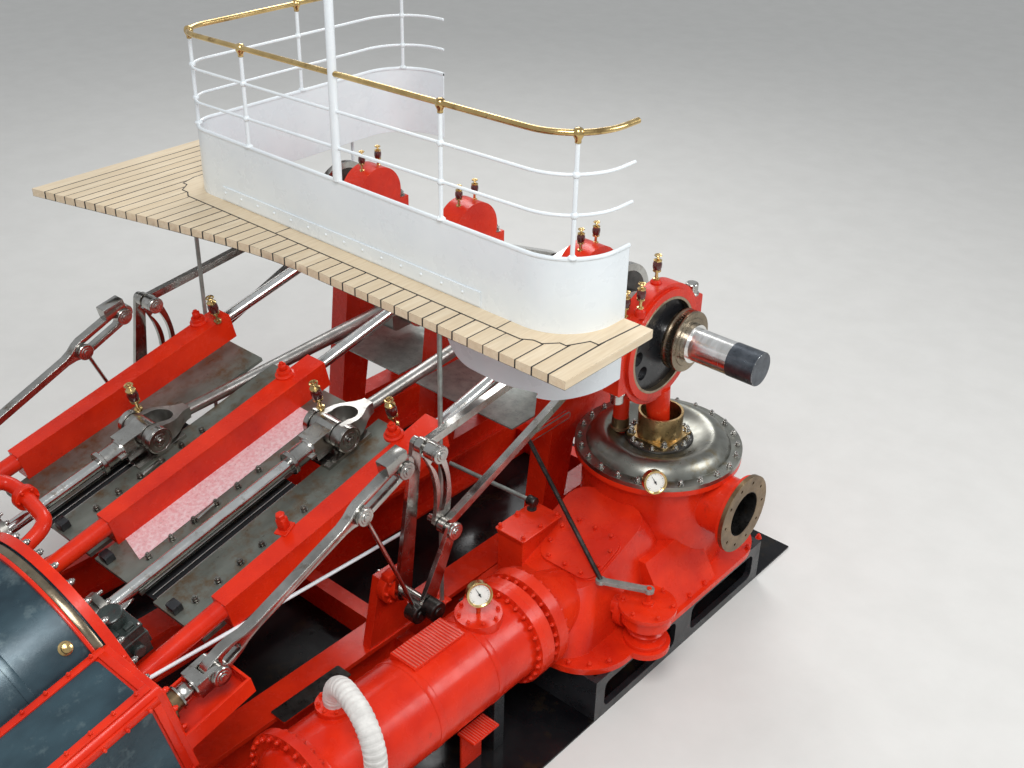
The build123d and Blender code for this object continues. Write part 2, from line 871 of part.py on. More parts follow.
with BuildPart() as condenser_shell:
    with BuildSketch(Plane.XZ.offset(-condenser_far_flange)):
        with Locations((condenser_line, condenser_height)):
            Circle(condenser_flange_radius)
    extrude(amount=flange_thickness)
    with BuildSketch(Plane.XZ.offset(-condenser_far_flange)):
        with Locations((condenser_line, condenser_height)):
            Circle(condenser_radius)
    extrude(amount=condenser_far_flange - condenser_near_flange)
    with BuildSketch(Plane.XZ.offset(-condenser_near_flange - flange_thickness)):
        with Locations((condenser_line, condenser_height)):
            Circle(condenser_flange_radius + 15)
    extrude(amount=flange_thickness)
    dome_face = condenser_near_flange
    with BuildSketch(
        Plane(
            origin=(condenser_line, dome_face, condenser_height),
            x_dir=(0, -1, 0),
            z_dir=(1, 0, 0),
        )
    ):
        with BuildLine():
            Line((0, 0), (0, condenser_radius - 20))
            bulge = EllipticalCenterArc((0, 0), dome_rise, condenser_radius - 20, 0, arc_size=90)
            Line(bulge @ 0, (0, 0))
        make_face()
    revolve(axis=Axis((condenser_line, dome_face, condenser_height), (0, -1, 0)))
    with BuildSketch(Plane.XY.offset(condenser_height)):
        with Locations((condenser_line, gauge_line)):
            Circle(130)
        with Locations((lag_seat, lag_line)):
            Circle(95)
    extrude(amount=boss_top - condenser_height)
save(condenser_shell.part, "condenser_shell")

with BuildPart() as condenser_saddles:
    for middle in saddle_lines:
        with BuildSketch(Plane.XZ.offset(-middle)):
            with Locations((condenser_line, condenser_height * 0.35)):
                Rectangle(condenser_radius * 1.5, condenser_height * 0.7)
            with Locations((condenser_line, condenser_height)):
                Circle(condenser_radius + running_gap, mode=Mode.SUBTRACT)
        extrude(amount=40, both=True)
save(condenser_saddles.part, "condenser_saddles")

# Valve gear: sheaves and rods, link, radius rod, rocker and its bracket on the girder
for side, gear_line in zip(("left", "right"), gear_lines):
    with BuildPart() as sheaves:
        for offset, angle in ((-rod_offset, 60), (rod_offset, -120)):
            centre = (gear_throw * cos(radians(angle)), shaft_height + gear_throw * sin(radians(angle)))
            with BuildSketch(Plane.YZ.offset(gear_line + offset)):
                with Locations(centre):
                    Circle(gear_sheave_radius)
                with Locations((0, shaft_height)):
                    Circle(shaft_radius + running_gap, mode=Mode.SUBTRACT)
            extrude(amount=rod_width / 2, both=True)
    save(sheaves.part, side + "_gear_sheaves")

    rods = []
    for offset, angle, pin in ((-rod_offset, 60, upper_pin), (rod_offset, -120, lower_pin)):
        y = gear_throw * cos(radians(angle))
        z = gear_throw * sin(radians(angle))
        hub = (-y * along[0] - z * along[1], -y * along[1] + z * along[0])
        with BuildPart() as eccentric_rod:
            with BuildSketch(side_view(gear_line + offset)):
                with Locations(hub, pin):
                    Circle(24)
                make_hull()
                with Locations(hub):
                    Circle(gear_strap_radius)
                with Locations(pin):
                    Circle(45)
                    Circle(gear_pin_radius + running_gap, mode=Mode.SUBTRACT)
                with Locations(hub):
                    Circle(gear_sheave_radius + running_gap, mode=Mode.SUBTRACT)
            extrude(amount=rod_width / 2, both=True)
        rods.append(eccentric_rod.part)
    save(Compound(children=rods), side + "_eccentric_rods")

    with BuildPart() as gear_link:
        with BuildSketch(side_view(gear_line)):
            with BuildLine():
                link_curve = ThreePointArc(upper_pin, (1640, -30), lower_pin)
            trace(link_curve, line_width=110)
            with BuildLine():
                link_slot = ThreePointArc((1675, 150), (1640, -30), (1700, -210))
            trace(link_slot, line_width=50, mode=Mode.SUBTRACT)
        extrude(amount=link_thickness / 2, both=True)
        with BuildSketch(side_view(gear_line)):
            with Locations(upper_pin, lower_pin):
                Circle(gear_pin_radius)
        extrude(amount=rod_offset + rod_width / 2 + 14, both=True)
    save(gear_link.part, side + "_gear_link")

    with BuildPart() as radius_rod:
        with BuildSketch(side_view(gear_line)):
            with Locations(valve_pin, valve_eye):
                Circle(26)
            make_hull()
            with Locations(valve_pin, valve_eye):
                Circle(48)
            with BuildLine():
                die_path = Line(valve_eye, die_end)
            trace(die_path, line_width=110)
            with BuildLine():
                die_slot = Line(valve_eye, die_path @ 0.7)
            trace(die_slot, line_width=40, mode=Mode.SUBTRACT)
            with Locations(valve_pin):
                Circle(gear_pin_radius + running_gap, mode=Mode.SUBTRACT)
        extrude(amount=30, both=True)
    save(radius_rod.part, side + "_radius_rod")

    with BuildPart() as rocker:
        arm_offset = rod_offset + rod_width + 6
        for offset, pin in ((-arm_offset, upper_pin), (arm_offset, lower_pin)):
            with BuildSketch(side_view(gear_line + offset)):
                with Locations(rocker_shaft):
                    Circle(55)
                with Locations(pin):
                    Circle(34)
                make_hull()
            extrude(amount=14, both=True)
        inner_end = bearing_lines[0] if side == "left" else bearing_lines[2]
        outer_end = gear_line + (gear_line - inner_end) / 2
        with BuildSketch(side_view(inner_end)):
            with Locations(rocker_shaft):
                Circle(38)
        extrude(amount=inner_end - outer_end)
    save(rocker.part, side + "_rocker")

# Valve chests beside the cylinders, each with its spindle and fork crosshead
chest_face = cylinder_face + flange_thickness
for side, gear_line, line, barrel in (
    ("left", gear_lines[0], high_line, high_barrel_radius),
    ("right", gear_lines[1], low_line, low_barrel_radius),
):
    outer_side = gear_line + chest_reach * (1 if gear_line > line else -1)
    inner_side = line + (barrel - 90) * (1 if gear_line > line else -1)
    with BuildPart() as valve_chest:
        with BuildSketch(cross_view(0, chest_face)):
            with Locations(((outer_side + inner_side) / 2, chest_offset)):
                RectangleRounded(abs(outer_side - inner_side), chest_height, 40)
            with Locations((gear_line, valve_pin[1])):
                Circle(spindle_radius + running_gap, mode=Mode.SUBTRACT)
            with Locations((line, 0)):
                Circle(barrel + running_gap, mode=Mode.SUBTRACT)
        extrude(amount=chest_length)
    save(valve_chest.part, side + "_valve_chest")

    with BuildPart() as spindle:
        with BuildSketch(cross_view(gear_line, valve_pin[0] + 110)):
            with Locations((0, valve_pin[1])):
                Circle(spindle_radius)
        extrude(amount=chest_face + 200 - valve_pin[0] - 110)
        with BuildSketch(side_view(gear_line)):
            with Locations(valve_pin):
                Circle(46)
            with Locations((valve_pin[0] + 60, valve_pin[1])):
                Rectangle(120, 92)
            with Locations(valve_pin):
                Circle(gear_pin_radius, mode=Mode.SUBTRACT)
        extrude(amount=64, both=True)
        with BuildSketch(side_view(gear_line)):
            with Locations((valve_pin[0] - 20, valve_pin[1])):
                Rectangle(160, 100)
        extrude(amount=32, both=True, mode=Mode.SUBTRACT)
        with BuildSketch(side_view(gear_line)):
            with Locations(valve_pin):
                Circle(gear_pin_radius)
        extrude(amount=64, both=True)
    save(spindle.part, side + "_valve_spindle")

# Rocker brackets and cylinder feet on the girders
rocker_y = -rocker_shaft[0] * along[0] - rocker_shaft[1] * along[1]
rocker_z = shaft_height - rocker_shaft[0] * along[1] + rocker_shaft[1] * along[0]
brackets = []
for bracket_line in (bearing_lines[0] - bracket_inset, bearing_lines[2] + bracket_inset):
    with BuildPart() as bracket:
        with BuildSketch(Plane.YZ.offset(bracket_line)):
            with BuildLine():
                Polyline(
                    (rocker_y - 170, girder_height),
                    (rocker_y + 170, girder_height),
                    (rocker_y + 70, rocker_z + 60),
                    (rocker_y - 70, rocker_z + 60),
                    close=True,
                )
            make_face()
            with Locations((rocker_y, rocker_z)):
                Circle(38 + running_gap, mode=Mode.SUBTRACT)
        extrude(amount=30, both=True)
    brackets.append(bracket.part)
save(Compound(children=brackets), "rocker_brackets")

feet = []
for line, barrel in ((high_line, high_barrel_radius), (low_line, low_barrel_radius)):
    for distance in foot_distances:
        centre = side_view(line).from_local_coords(Vector(distance, 0, 0))
        with BuildPart() as foot:
            with BuildSketch(Plane.XZ.offset(-centre.Y)):
                with Locations((line, centre.Z / 2)):
                    Rectangle(barrel * foot_share, centre.Z)
            extrude(amount=foot_thickness / 2, both=True)
            with BuildSketch(cross_view(line, distance - 400)):
                Circle(barrel + running_gap)
            extrude(amount=800, mode=Mode.SUBTRACT)
        feet.append(foot.part)
save(Compound(children=feet), "cylinder_feet")

# Red trays under the spindle crossheads, and the lubricator on the flange of the large cylinder
trays = []
for gear_line in gear_lines:
    with BuildPart() as tray:
        with BuildSketch(plan_view(-tray_drop)):
            with Locations((gear_line, -chest_face + tray_length / 2)):
                Rectangle(tray_width, tray_length)
        extrude(amount=tray_depth)
        with BuildSketch(plan_view(-tray_drop + tray_wall)):
            with Locations((gear_line, -chest_face + tray_length / 2)):
                Rectangle(tray_width - 2 * tray_wall, tray_length - 2 * tray_wall)
        extrude(amount=tray_depth, mode=Mode.SUBTRACT)
    trays.append(tray.part)
save(Compound(children=trays), "spindle_trays")

with BuildPart() as lubricator:
    with BuildSketch(cross_view(lubricator_line, cylinder_face)):
        with Locations((0, 110)):
            Rectangle(200, 180)
    extrude(amount=-160)
    with BuildSketch(plan_view(190)):
        with Locations((lubricator_line - 20, -cylinder_face + 85)):
            Circle(62)
    extrude(amount=70)
save(lubricator.part, "lubricator")

# Lagged pipe that rises from the condenser, turns over and goes down to the floor
with BuildPart() as lagged_pipe:
    turn = radians(lag_turn)
    with BuildLine(
        Plane(
            origin=(lag_seat, lag_line, boss_top),
            x_dir=(cos(turn), sin(turn), 0),
            z_dir=(sin(turn), -cos(turn), 0),
        )
    ):
        FilletPolyline(
            (0, 0),
            (0, lag_top),
            (lag_span, lag_top),
            (lag_span, tray_thickness - boss_top),
            radius=lag_bend,
        )
    with BuildSketch(Plane(origin=(lag_seat, lag_line, boss_top), z_dir=(0, 0, 1))):
        Circle(lag_radius)
    sweep()
save(lagged_pipe.part, "lagged_pipe")

# Dial gauges on short stems: one on the rim of the pump cover, one on the condenser
gauges = []
for foot, middle in (
    ((pump_line + 270, -440, cover_height), (pump_line + 315, -505, cover_height + 95)),
    ((condenser_line, gauge_line, boss_top), (condenser_line, gauge_line, boss_top + 130)),
):
    with BuildPart() as gauge:
        stem_foot = Vector(*foot)
        dial_middle = Vector(*middle)
        with BuildSketch(Plane(origin=stem_foot, z_dir=dial_middle - stem_foot)):
            Circle(12)
        extrude(amount=(dial_middle - stem_foot).length)
        with BuildSketch(Plane(origin=dial_middle, z_dir=(0.78, -0.55, 0.3))):
            Circle(gauge_radius)
        extrude(amount=gauge_depth / 2, both=True)
        split(bisect_by=Plane.XY.offset(foot[2]), keep=Keep.TOP)
    gauges.append(gauge.part)
save(Compound(children=gauges), "gauges")

# Small plates to step on: on the girder, on the crown of the condenser and beside it
side_step_height = condenser_height - side_step_drop
with BuildPart() as step_plates:
    with Locations((*girder_step_place, girder_height + step_thickness / 2)):
        Box(girder_step[1], girder_step[0], step_thickness)
    with Locations((*crown_step_place, condenser_height + condenser_radius - 20)):
        Box(crown_step[1], crown_step[0], crown_step[2])
    with Locations((*side_step_place, side_step_height + step_thickness / 2)):
        Box(side_step[1], side_step[0], step_thickness)
    with Locations(
        (
            side_step_place[0] - side_step[1] / 2 + step_thickness / 2,
            side_step_place[1],
            (side_step_height + tray_thickness) / 2,
        )
    ):
        Box(step_thickness, side_step[0] - 40, side_step_height - tray_thickness)
    with BuildSketch(Plane.XZ.offset(-condenser_far_flange)):
        with Locations((condenser_line, condenser_height)):
            Circle(condenser_radius + running_gap)
    extrude(amount=condenser_far_flange - condenser_near_flange, mode=Mode.SUBTRACT)
save(step_plates.part, "step_plates")

# Splash plates under the cranks, from pedestal to pedestal
with BuildPart() as splash_plates:
    for left, right in zip(bearing_lines, bearing_lines[1:]):
        with BuildSketch(Plane.XY.offset(splash_height)):
            with Locations(((left + right) / 2, (splash_front + splash_back) / 2)):
                Rectangle(right - left - pedestal_width, splash_back - splash_front)
        extrude(amount=splash_thickness)
save(splash_plates.part, "splash_plates")

# Black tray on the floor that fills the spaces between the frames
with BuildPart() as drip_tray:
    with BuildSketch(Plane.XY):
        with Locations(((bearing_lines[0] + tray_right) / 2, (girder_front + girder_back) / 2)):
            Rectangle(tray_right - bearing_lines[0], girder_back - girder_front)
    extrude(amount=tray_thickness)
    for standing in (bed_frame.part, plinth.part, condenser_saddles.part, *feet):
        add(standing, mode=Mode.SUBTRACT)
save(drip_tray.part, "drip_tray")

# Outline of the coaming, shared by the deck, the wall, the beads and the rails
def coaming_corners(inset):
    """Corner places of the coaming line, moved inwards."""
    return (
        (coaming_right - inset, coaming_end_right),
        (coaming_right - inset, coaming_front + inset),
        (coaming_left + inset, coaming_front + inset),
        (coaming_left + inset, coaming_back - inset),
        (coaming_end_left, coaming_back - inset),
    )


with BuildPart() as deck_planking:
    with BuildSketch(Plane.XY.offset(deck_top - deck_thickness)):
        with BuildLine():
            front = Line((deck_right, deck_front), (flare_start, deck_front))
            flare = Spline(
                front @ 1,
                *flare_places,
                (deck_left, -1883),
                tangents=((-1, 0), (-1, -0.25)),
            )
            Line(flare @ 1, (deck_left, deck_back_left))
            Line((deck_left, deck_back_left), (deck_right - deck_corner_cut, deck_back_left))
            Line((deck_right - deck_corner_cut, deck_back_left), (deck_right, deck_back_right))
            Line((deck_right, deck_back_right), front @ 0)
        make_face()
        with BuildLine():
            well = FilletPolyline(
                *coaming_corners(-coaming_thickness / 2),
                radius=[radius + coaming_thickness / 2 for radius in coaming_corner_radii],
            )
            Line(well @ 1, (deck_right + 100, coaming_back))
            Line((deck_right + 100, coaming_back), (deck_right + 100, coaming_end_right))
            Line((deck_right + 100, coaming_end_right), well @ 0)
        make_face(mode=Mode.SUBTRACT)
    extrude(amount=deck_thickness)
save(deck_planking.part, "deck_planking")

with BuildPart() as coaming:
    with BuildSketch(Plane.XY.offset(deck_top - apron_places[3][1] - 1)):
        with BuildLine():
            FilletPolyline(*coaming_corners(0), radius=coaming_corner_radii)
        trace(line_width=coaming_thickness)
    extrude(amount=coaming_rise + apron_places[3][1] + 1)
    with BuildSketch(Plane.XZ):
        with BuildLine():
            apron = Spline(
                *[(coaming_right - back, deck_top - drop) for back, drop in apron_places],
                (deck_right, deck_top - apron_end),
                tangents=((0, -1), (1, 0.25)),
            )
            Polyline(
                apron @ 1,
                (deck_right, deck_top - apron_room),
                (deck_left, deck_top - apron_room),
                (deck_left, deck_top - deck_thickness),
                apron @ 0,
            )
        make_face()
    extrude(amount=2000, both=True, mode=Mode.SUBTRACT)
save(coaming.part, "coaming")

# Thin steel strips under the planks, and the slender pillars that carry them
strip_bottom = deck_top - deck_thickness - deck_strip_depth
with BuildPart() as deck_frame:
    with BuildSketch(Plane.XY.offset(strip_bottom)):
        with Locations(((deck_strip_left + deck_right - 20) / 2, deck_strip_front)):
            Rectangle(deck_right - 20 - deck_strip_left, deck_strip_width)
        for x in (deck_strip_left, coaming_left - 120):
            with Locations((x + deck_strip_width / 2, (deck_strip_front + deck_back_left) / 2)):
                Rectangle(deck_strip_width, deck_back_left - deck_strip_front)
    extrude(amount=deck_strip_depth)
    for x, y, foot_height in (
        (bearing_lines[0] - post_inset, deck_strip_front, girder_height),
        (bearing_lines[2] + post_inset, deck_strip_front, girder_height),
        (coaming_left - 90, deck_back_left - 60, 0),
    ):
        with BuildSketch(Plane.XY.offset(foot_height)):
            with Locations((x, y)):
                Rectangle(post_foot, post_foot)
        extrude(amount=10)
        with BuildSketch(Plane.XY.offset(foot_height)):
            with Locations((x, y)):
                Circle(post_radius)
        extrude(amount=strip_bottom - foot_height)
save(deck_frame.part, "deck_frame")

# Rails on stanchions: brass above, two white rails between, rising gently towards the right
def rail_level(height, x):
    """Height of a rail above the floor at a place across the engine."""
    return deck_top + height + (x - rail_level_line) * tan(radians(rail_slope))


def rail(height, radius):
    """Round rail that follows the coaming, at a height above the deck where the rails are level."""
    slope = radians(rail_slope)
    tilted = Plane(
        origin=(0, 0, rail_level(height, 0)),
        x_dir=(cos(slope), 0, sin(slope)),
        z_dir=(-sin(slope), 0, cos(slope)),
    )
    with BuildPart() as run:
        with BuildLine(tilted) as path:
            FilletPolyline(*coaming_corners(0), radius=coaming_corner_radii)
        with BuildSketch(Plane(origin=path.line @ 0, z_dir=path.line % 0)):
            Circle(radius)
        sweep()
    return run.part


save(rail(rail_height, rail_radius), "handrail")
with BuildPart() as rails:
    for height in middle_rail_heights:
        add(rail(height, middle_rail_radius))
    for place in stanchion_places:
        with BuildSketch(Plane.XY.offset(deck_top + coaming_rise)):
            with Locations(place):
                Circle(stanchion_radius)
        post_top = rail_level(rail_height, place[0]) - rail_radius - running_gap
        extrude(amount=post_top - deck_top - coaming_rise)
    with BuildSketch(Plane.XY.offset(deck_top + coaming_rise)):
        with Locations(pillar_place):
            Circle(pillar_radius)
    extrude(amount=pillar_height - coaming_rise)
    add(rail(rail_height, rail_radius + running_gap), mode=Mode.SUBTRACT)
save(rails.part, "rails")
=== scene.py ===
import bpy
import json
from math import cos, pi, radians, sin
from mathutils import Matrix, Vector


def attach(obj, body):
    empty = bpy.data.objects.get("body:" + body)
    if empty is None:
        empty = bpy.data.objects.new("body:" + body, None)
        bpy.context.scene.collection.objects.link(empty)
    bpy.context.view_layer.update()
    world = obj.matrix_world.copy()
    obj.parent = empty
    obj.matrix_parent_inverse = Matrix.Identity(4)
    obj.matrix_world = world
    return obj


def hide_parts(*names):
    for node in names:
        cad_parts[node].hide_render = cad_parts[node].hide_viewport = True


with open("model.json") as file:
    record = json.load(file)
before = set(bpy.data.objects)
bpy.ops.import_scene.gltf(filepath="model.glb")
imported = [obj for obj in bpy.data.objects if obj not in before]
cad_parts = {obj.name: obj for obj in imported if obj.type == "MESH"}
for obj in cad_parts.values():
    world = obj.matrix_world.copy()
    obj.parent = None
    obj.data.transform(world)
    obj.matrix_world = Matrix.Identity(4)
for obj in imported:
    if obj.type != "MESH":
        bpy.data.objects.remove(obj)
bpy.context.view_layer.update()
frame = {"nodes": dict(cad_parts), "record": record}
nodes = frame["nodes"]

# Main places of the engine, in metres
SHAFT = 1.815
TILT = radians(13)
HIGH_LINE = -0.455
LOW_LINE = 0.5
BEARINGS = (-0.91, 0.0, 1.0)
GEARS = (-1.2, 1.29)
SIDES = ((GEARS[1], "right"), (GEARS[0], "left"))
ENGINES = ((LOW_LINE, "low"), (HIGH_LINE, "high"))
PUMP_LINE = 1.63
CONDENSER_LINE = 1.72
FACE = 3.46
DECK = 2.25
COAMING = 0.424
HANDRAIL = 1.02
SHELL_LEVEL = 0.56
GUIDE_LEVEL = -0.115
BEAM_TOP = 0.06
BOSS_TOP = 0.847
PIPE_FOOT = (1.645, -2.72, BOSS_TOP)
PIPE_TURN = radians(-17)
SPINDLE_LEVEL = 0.05
FORK_EYE = 3.216
ROCKER_SHAFT = (2.01, -0.645)
ALONG_SHAFT = (1, 0, 0)
UP_SLOPE = Vector((0, cos(TILT), sin(TILT)))
OFF_SLOPE = Vector((0, -sin(TILT), cos(TILT)))


# Camera
camera_data = bpy.data.cameras.new("camera")
camera_data.lens = 43.44
camera_data.sensor_width = 36.0
camera_data.clip_end = 100.0
camera = bpy.data.objects.new("camera", camera_data)
bpy.context.collection.objects.link(camera)
camera.matrix_world = Matrix((
    (0.754641, -0.34688, 0.556948, 5.11), (0.655781, 0.37072, -0.657661, -5.533), (0.021657, 0.861534, 0.507238, 5.25),
    (0, 0, 0, 1)))
bpy.context.scene.camera = camera


def slope(x, down, height):
    """Place on the incline: metres down from the shaft, and square above the line of the cylinders."""
    return Vector((x, 0, SHAFT)) - UP_SLOPE * down + OFF_SLOPE * height


def spun(angle, axis="Z"):
    """Matrix that turns a fitting about one of its axes."""
    return Matrix.Rotation(angle, 4, axis)


def seat(place, up=(0, 0, 1), turn=0.0, size=1.0):
    """Matrix that stands a fitting on a place and points it along a direction."""
    lean = Vector(up).to_track_quat("Z", "Y").to_matrix().to_4x4()
    return Matrix.Translation(place) @ lean @ spun(turn) @ Matrix.Scale(size, 4)


def on_slope(x, down, height, turn=0.0):
    """Matrix that lays a fitting square on the incline, with its Y axis up the slope."""
    lean = spun(TILT, "X") @ spun(turn)
    return Matrix.Translation(slope(x, down, height)) @ lean


def shift(x, y, z, size=1.0):
    """Matrix that moves a fitting away from its place and sizes it."""
    return Matrix.Translation((x, y, z)) @ Matrix.Scale(size, 4)


def crosswise(x, down, height):
    """Matrix of a fitting on the incline that points along the crankshaft."""
    return seat(slope(x, down, height), ALONG_SHAFT)


def endwise(x, down, height, size=1.0):
    """Matrix of a fitting on the incline that points up the slope."""
    return seat(slope(x, down, height), UP_SLOPE, size=size)


def bolt_circle(middle, up, radius, count, start=0.0, size=1.0):
    """Matrices of fittings round a bolt circle."""
    return [
        seat(middle, up) @ spun(start + 2 * pi * number / count) @ shift(radius, 0, 0, size)
        for number in range(count)]


# Finishes
def shader_node(tree, kind, inputs=None, **settings):
    """Adds a shader node, sets it up and joins its inputs."""
    made = tree.nodes.new("ShaderNode" + kind)
    for key, value in settings.items():
        setattr(made, key, value)
    for key, value in (inputs or {}).items():
        if isinstance(value, bpy.types.NodeSocket):
            tree.links.new(value, made.inputs[key])
        else:
            made.inputs[key].default_value = value
    return made


def blend_colours(tree, share, first, second):
    mixed = shader_node(tree, "Mix", {0: share}, data_type="RGBA")
    for key, value in ((6, first), (7, second)):
        if isinstance(value, bpy.types.NodeSocket):
            tree.links.new(value, mixed.inputs[key])
        else:
            mixed.inputs[key].default_value = (*value, 1)
    return mixed.outputs[2]


def spread(tree, value, low, high, to_low=0.0, to_high=1.0):
    ranged = shader_node(
        tree, "MapRange", {"Value": value, "From Min": low, "From Max": high, "To Min": to_low, "To Max": to_high})
    return ranged.outputs[0]


def product(tree, first, second):
    return shader_node(tree, "Math", {0: first, 1: second}, operation="MULTIPLY").outputs[0]


def cloud(tree, where, scale, detail=4.0, roughness=0.6):
    return shader_node(
        tree, "TexNoise", {"Vector": where, "Scale": scale, "Detail": detail, "Roughness": roughness}).outputs[0]


def finish(
    name, base, shade, metallic=0.0, gloss=(0.25, 0.4), mottle=3.0, along=(1, 1, 1), turn=(0, 0, 0), relief=0.1,
    pits=90.0, depth=0.002, dust=0.0, stain=None, stained=(0.55, 0.75), coat=0.0, edge=0.003, worn=None, shine=0.5):
    """Finish with mottled colour, uneven gloss, fine relief, settled dust, stains and worn edges."""
    made = bpy.data.materials.new(name)
    made.use_nodes = True
    tree = made.node_tree
    shader = tree.nodes["Principled BSDF"]
    where = shader_node(tree, "TexCoord").outputs["Object"]
    laid = shader_node(tree, "Mapping", {"Vector": where, "Scale": along, "Rotation": turn}).outputs[0]
    patches = cloud(tree, laid, mottle)
    colour = blend_colours(tree, spread(tree, patches, 0.35, 0.65), shade, base)
    if stain:
        marks = cloud(tree, where, mottle * 1.7 + 1.3, 6.0, 0.7)
        colour = blend_colours(tree, spread(tree, marks, *stained), colour, stain)
    surface = shader_node(tree, "NewGeometry")
    normal = surface.outputs["Normal"]
    if edge:
        rounded = shader_node(tree, "Bevel", {"Radius": edge}, samples=4).outputs[0]
        if worn:
            facing = shader_node(tree, "VectorMath", {0: rounded, 1: normal}, operation="DOT_PRODUCT").outputs["Value"]
            rubbed = product(tree, spread(tree, facing, 0.995, 0.85), spread(tree, cloud(tree, where, 14.0), 0.4, 0.6))
            colour = blend_colours(tree, rubbed, colour, worn)
    else:
        rounded = None
    if dust:
        level = shader_node(tree, "SeparateXYZ", {0: surface.outputs["True Normal"]}).outputs[2]
        settled = product(
            tree, spread(tree, level, 0.6, 1.0, 0.0, dust), spread(tree, cloud(tree, where, 9.0), 0.3, 0.7))
        colour = blend_colours(tree, settled, colour, (0.5, 0.46, 0.4))
    tree.links.new(colour, shader.inputs["Base Color"])
    smears = cloud(tree, laid, mottle * 4.1, 5.0)
    tree.links.new(spread(tree, smears, 0.3, 0.7, *gloss), shader.inputs["Roughness"])
    grain = cloud(tree, laid, pits, 3.0)
    bump = shader_node(tree, "Bump", {"Height": grain, "Strength": relief, "Distance": depth})
    if rounded:
        tree.links.new(rounded, bump.inputs["Normal"])
    tree.links.new(bump.outputs[0], shader.inputs["Normal"])
    for key, value in (
        ("Metallic", metallic), ("Specular IOR Level", shine), ("Coat Weight", coat), ("Coat Roughness", 0.12)):
        shader.inputs[key].default_value = value
    return made


SLANTED = (-TILT, 0, 0)
red = finish(
    "red_enamel", (0.78, 0.032, 0.007), (0.6, 0.018, 0.005), gloss=(0.16, 0.34), relief=0.12, pits=55,
    stain=(0.26, 0.012, 0.006), stained=(0.66, 0.8), coat=0.08, worn=(0.84, 0.09, 0.035), shine=0.26)
cast_red = finish(
    "red_castings", (0.78, 0.036, 0.008), (0.58, 0.018, 0.005), gloss=(0.2, 0.4), relief=0.3, pits=34,
    stain=(0.3, 0.014, 0.007), stained=(0.64, 0.8), coat=0.08, worn=(0.82, 0.085, 0.035), shine=0.26)
steel = finish(
    "polished_steel", (0.56, 0.55, 0.52), (0.33, 0.32, 0.3), 1, (0.14, 0.3), 5, relief=0.03, depth=0.0005,
    stain=(0.15, 0.1, 0.06), stained=(0.58, 0.76), edge=0.0025)
turned_steel = finish(
    "turned_shaft_steel", (0.93, 0.92, 0.9), (0.74, 0.73, 0.7), 1, (0.14, 0.28), 4, along=(9, 1, 1), relief=0.03,
    pits=30, depth=0.0005, stain=(0.2, 0.14, 0.08), stained=(0.68, 0.9))
rod_steel = finish(
    "turned_rod_steel", (0.86, 0.86, 0.84), (0.6, 0.6, 0.58), 1, (0.09, 0.22), 3, relief=0.015, pits=60, depth=0.0004,
    stain=(0.24, 0.14, 0.07), stained=(0.56, 0.74))
dark_steel = finish(
    "oiled_dark_steel", (0.11, 0.105, 0.1), (0.04, 0.038, 0.036), 0.9, (0.22, 0.45), 7, relief=0.12, depth=0.001,
    stain=(0.08, 0.045, 0.02))
oiled_steel = finish(
    "oiled_nut_steel", (0.34, 0.33, 0.3), (0.16, 0.155, 0.14), 1, (0.2, 0.4), 7, depth=0.0005, stain=(0.1, 0.06, 0.03),
    edge=0.002)
forged_steel = finish(
    "forged_rod_steel", (0.5, 0.49, 0.465), (0.32, 0.31, 0.29), 1, (0.3, 0.44), 5, relief=0.05, depth=0.0005,
    stain=(0.15, 0.1, 0.06), stained=(0.58, 0.76))
cover_steel = finish(
    "polished_pump_cover", (0.33, 0.335, 0.3), (0.2, 0.195, 0.17), 1, (0.26, 0.4), 4, relief=0.03, pits=40,
    depth=0.0005, stain=(0.2, 0.15, 0.07), stained=(0.56, 0.74))
plate_grey = finish(
    "oiled_guide_plate", (0.23, 0.25, 0.22), (0.12, 0.13, 0.11), 0.45, (0.26, 0.48), 4, along=(1, 0.4, 1), turn=SLANTED,
    relief=0.08, pits=110, depth=0.001, stain=(0.13, 0.07, 0.025), stained=(0.48, 0.7))
blue_sheet = finish(
    "dark_blue_cladding", (0.046, 0.088, 0.11), (0.012, 0.024, 0.034), 0.2, (0.18, 0.34), 2.2, along=(1, 0.6, 1),
    relief=0.07, pits=45, stain=(0.14, 0.19, 0.2), stained=(0.56, 0.76), edge=0.004, shine=0.4)
white = finish(
    "white_coaming_paint", (0.85, 0.9, 0.92), (0.78, 0.83, 0.86), gloss=(0.22, 0.38), mottle=1.6, relief=0.06, pits=24,
    coat=0.2, worn=(0.62, 0.64, 0.62))
tape = finish(
    "white_lagging_tape", (0.8, 0.78, 0.74), (0.62, 0.6, 0.57), gloss=(0.6, 0.85), mottle=12, relief=0.5, pits=150,
    dust=0.1, edge=0)
black = finish(
    "black_floor_paint", (0.022, 0.023, 0.026), (0.009, 0.0095, 0.011), gloss=(0.2, 0.42), pits=60,
    worn=(0.09, 0.09, 0.09))
# Glossy black with oil stains: painted shade, laid on the drip tray for the dark space under the engine and on the
# guide slot floors
painted_shade_black = finish(
    "oily_tray_painted_shade", (0.012, 0.012, 0.013), (0.004, 0.004, 0.005), gloss=(0.08, 0.24), mottle=2, relief=0.03,
    pits=12, stain=(0.03, 0.02, 0.01), shine=0.2)
pale_steel = finish(
    "galvanised_steel", (0.4, 0.44, 0.41), (0.27, 0.31, 0.285), 0.6, (0.35, 0.55), 16, pits=160, depth=0.0006,
    stain=(0.2, 0.2, 0.19))
brass = finish(
    "polished_brass", (0.8, 0.58, 0.26), (0.56, 0.39, 0.16), 1, (0.14, 0.3), 5, relief=0.012, pits=40, depth=0.0005,
    stain=(0.2, 0.11, 0.04), stained=(0.54, 0.74), edge=0.002)
bronze = finish(
    "aged_bronze", (0.27, 0.185, 0.1), (0.15, 0.1, 0.055), 0.9, (0.24, 0.44), 7, relief=0.15, pits=110, depth=0.001,
    stain=(0.1, 0.07, 0.04))
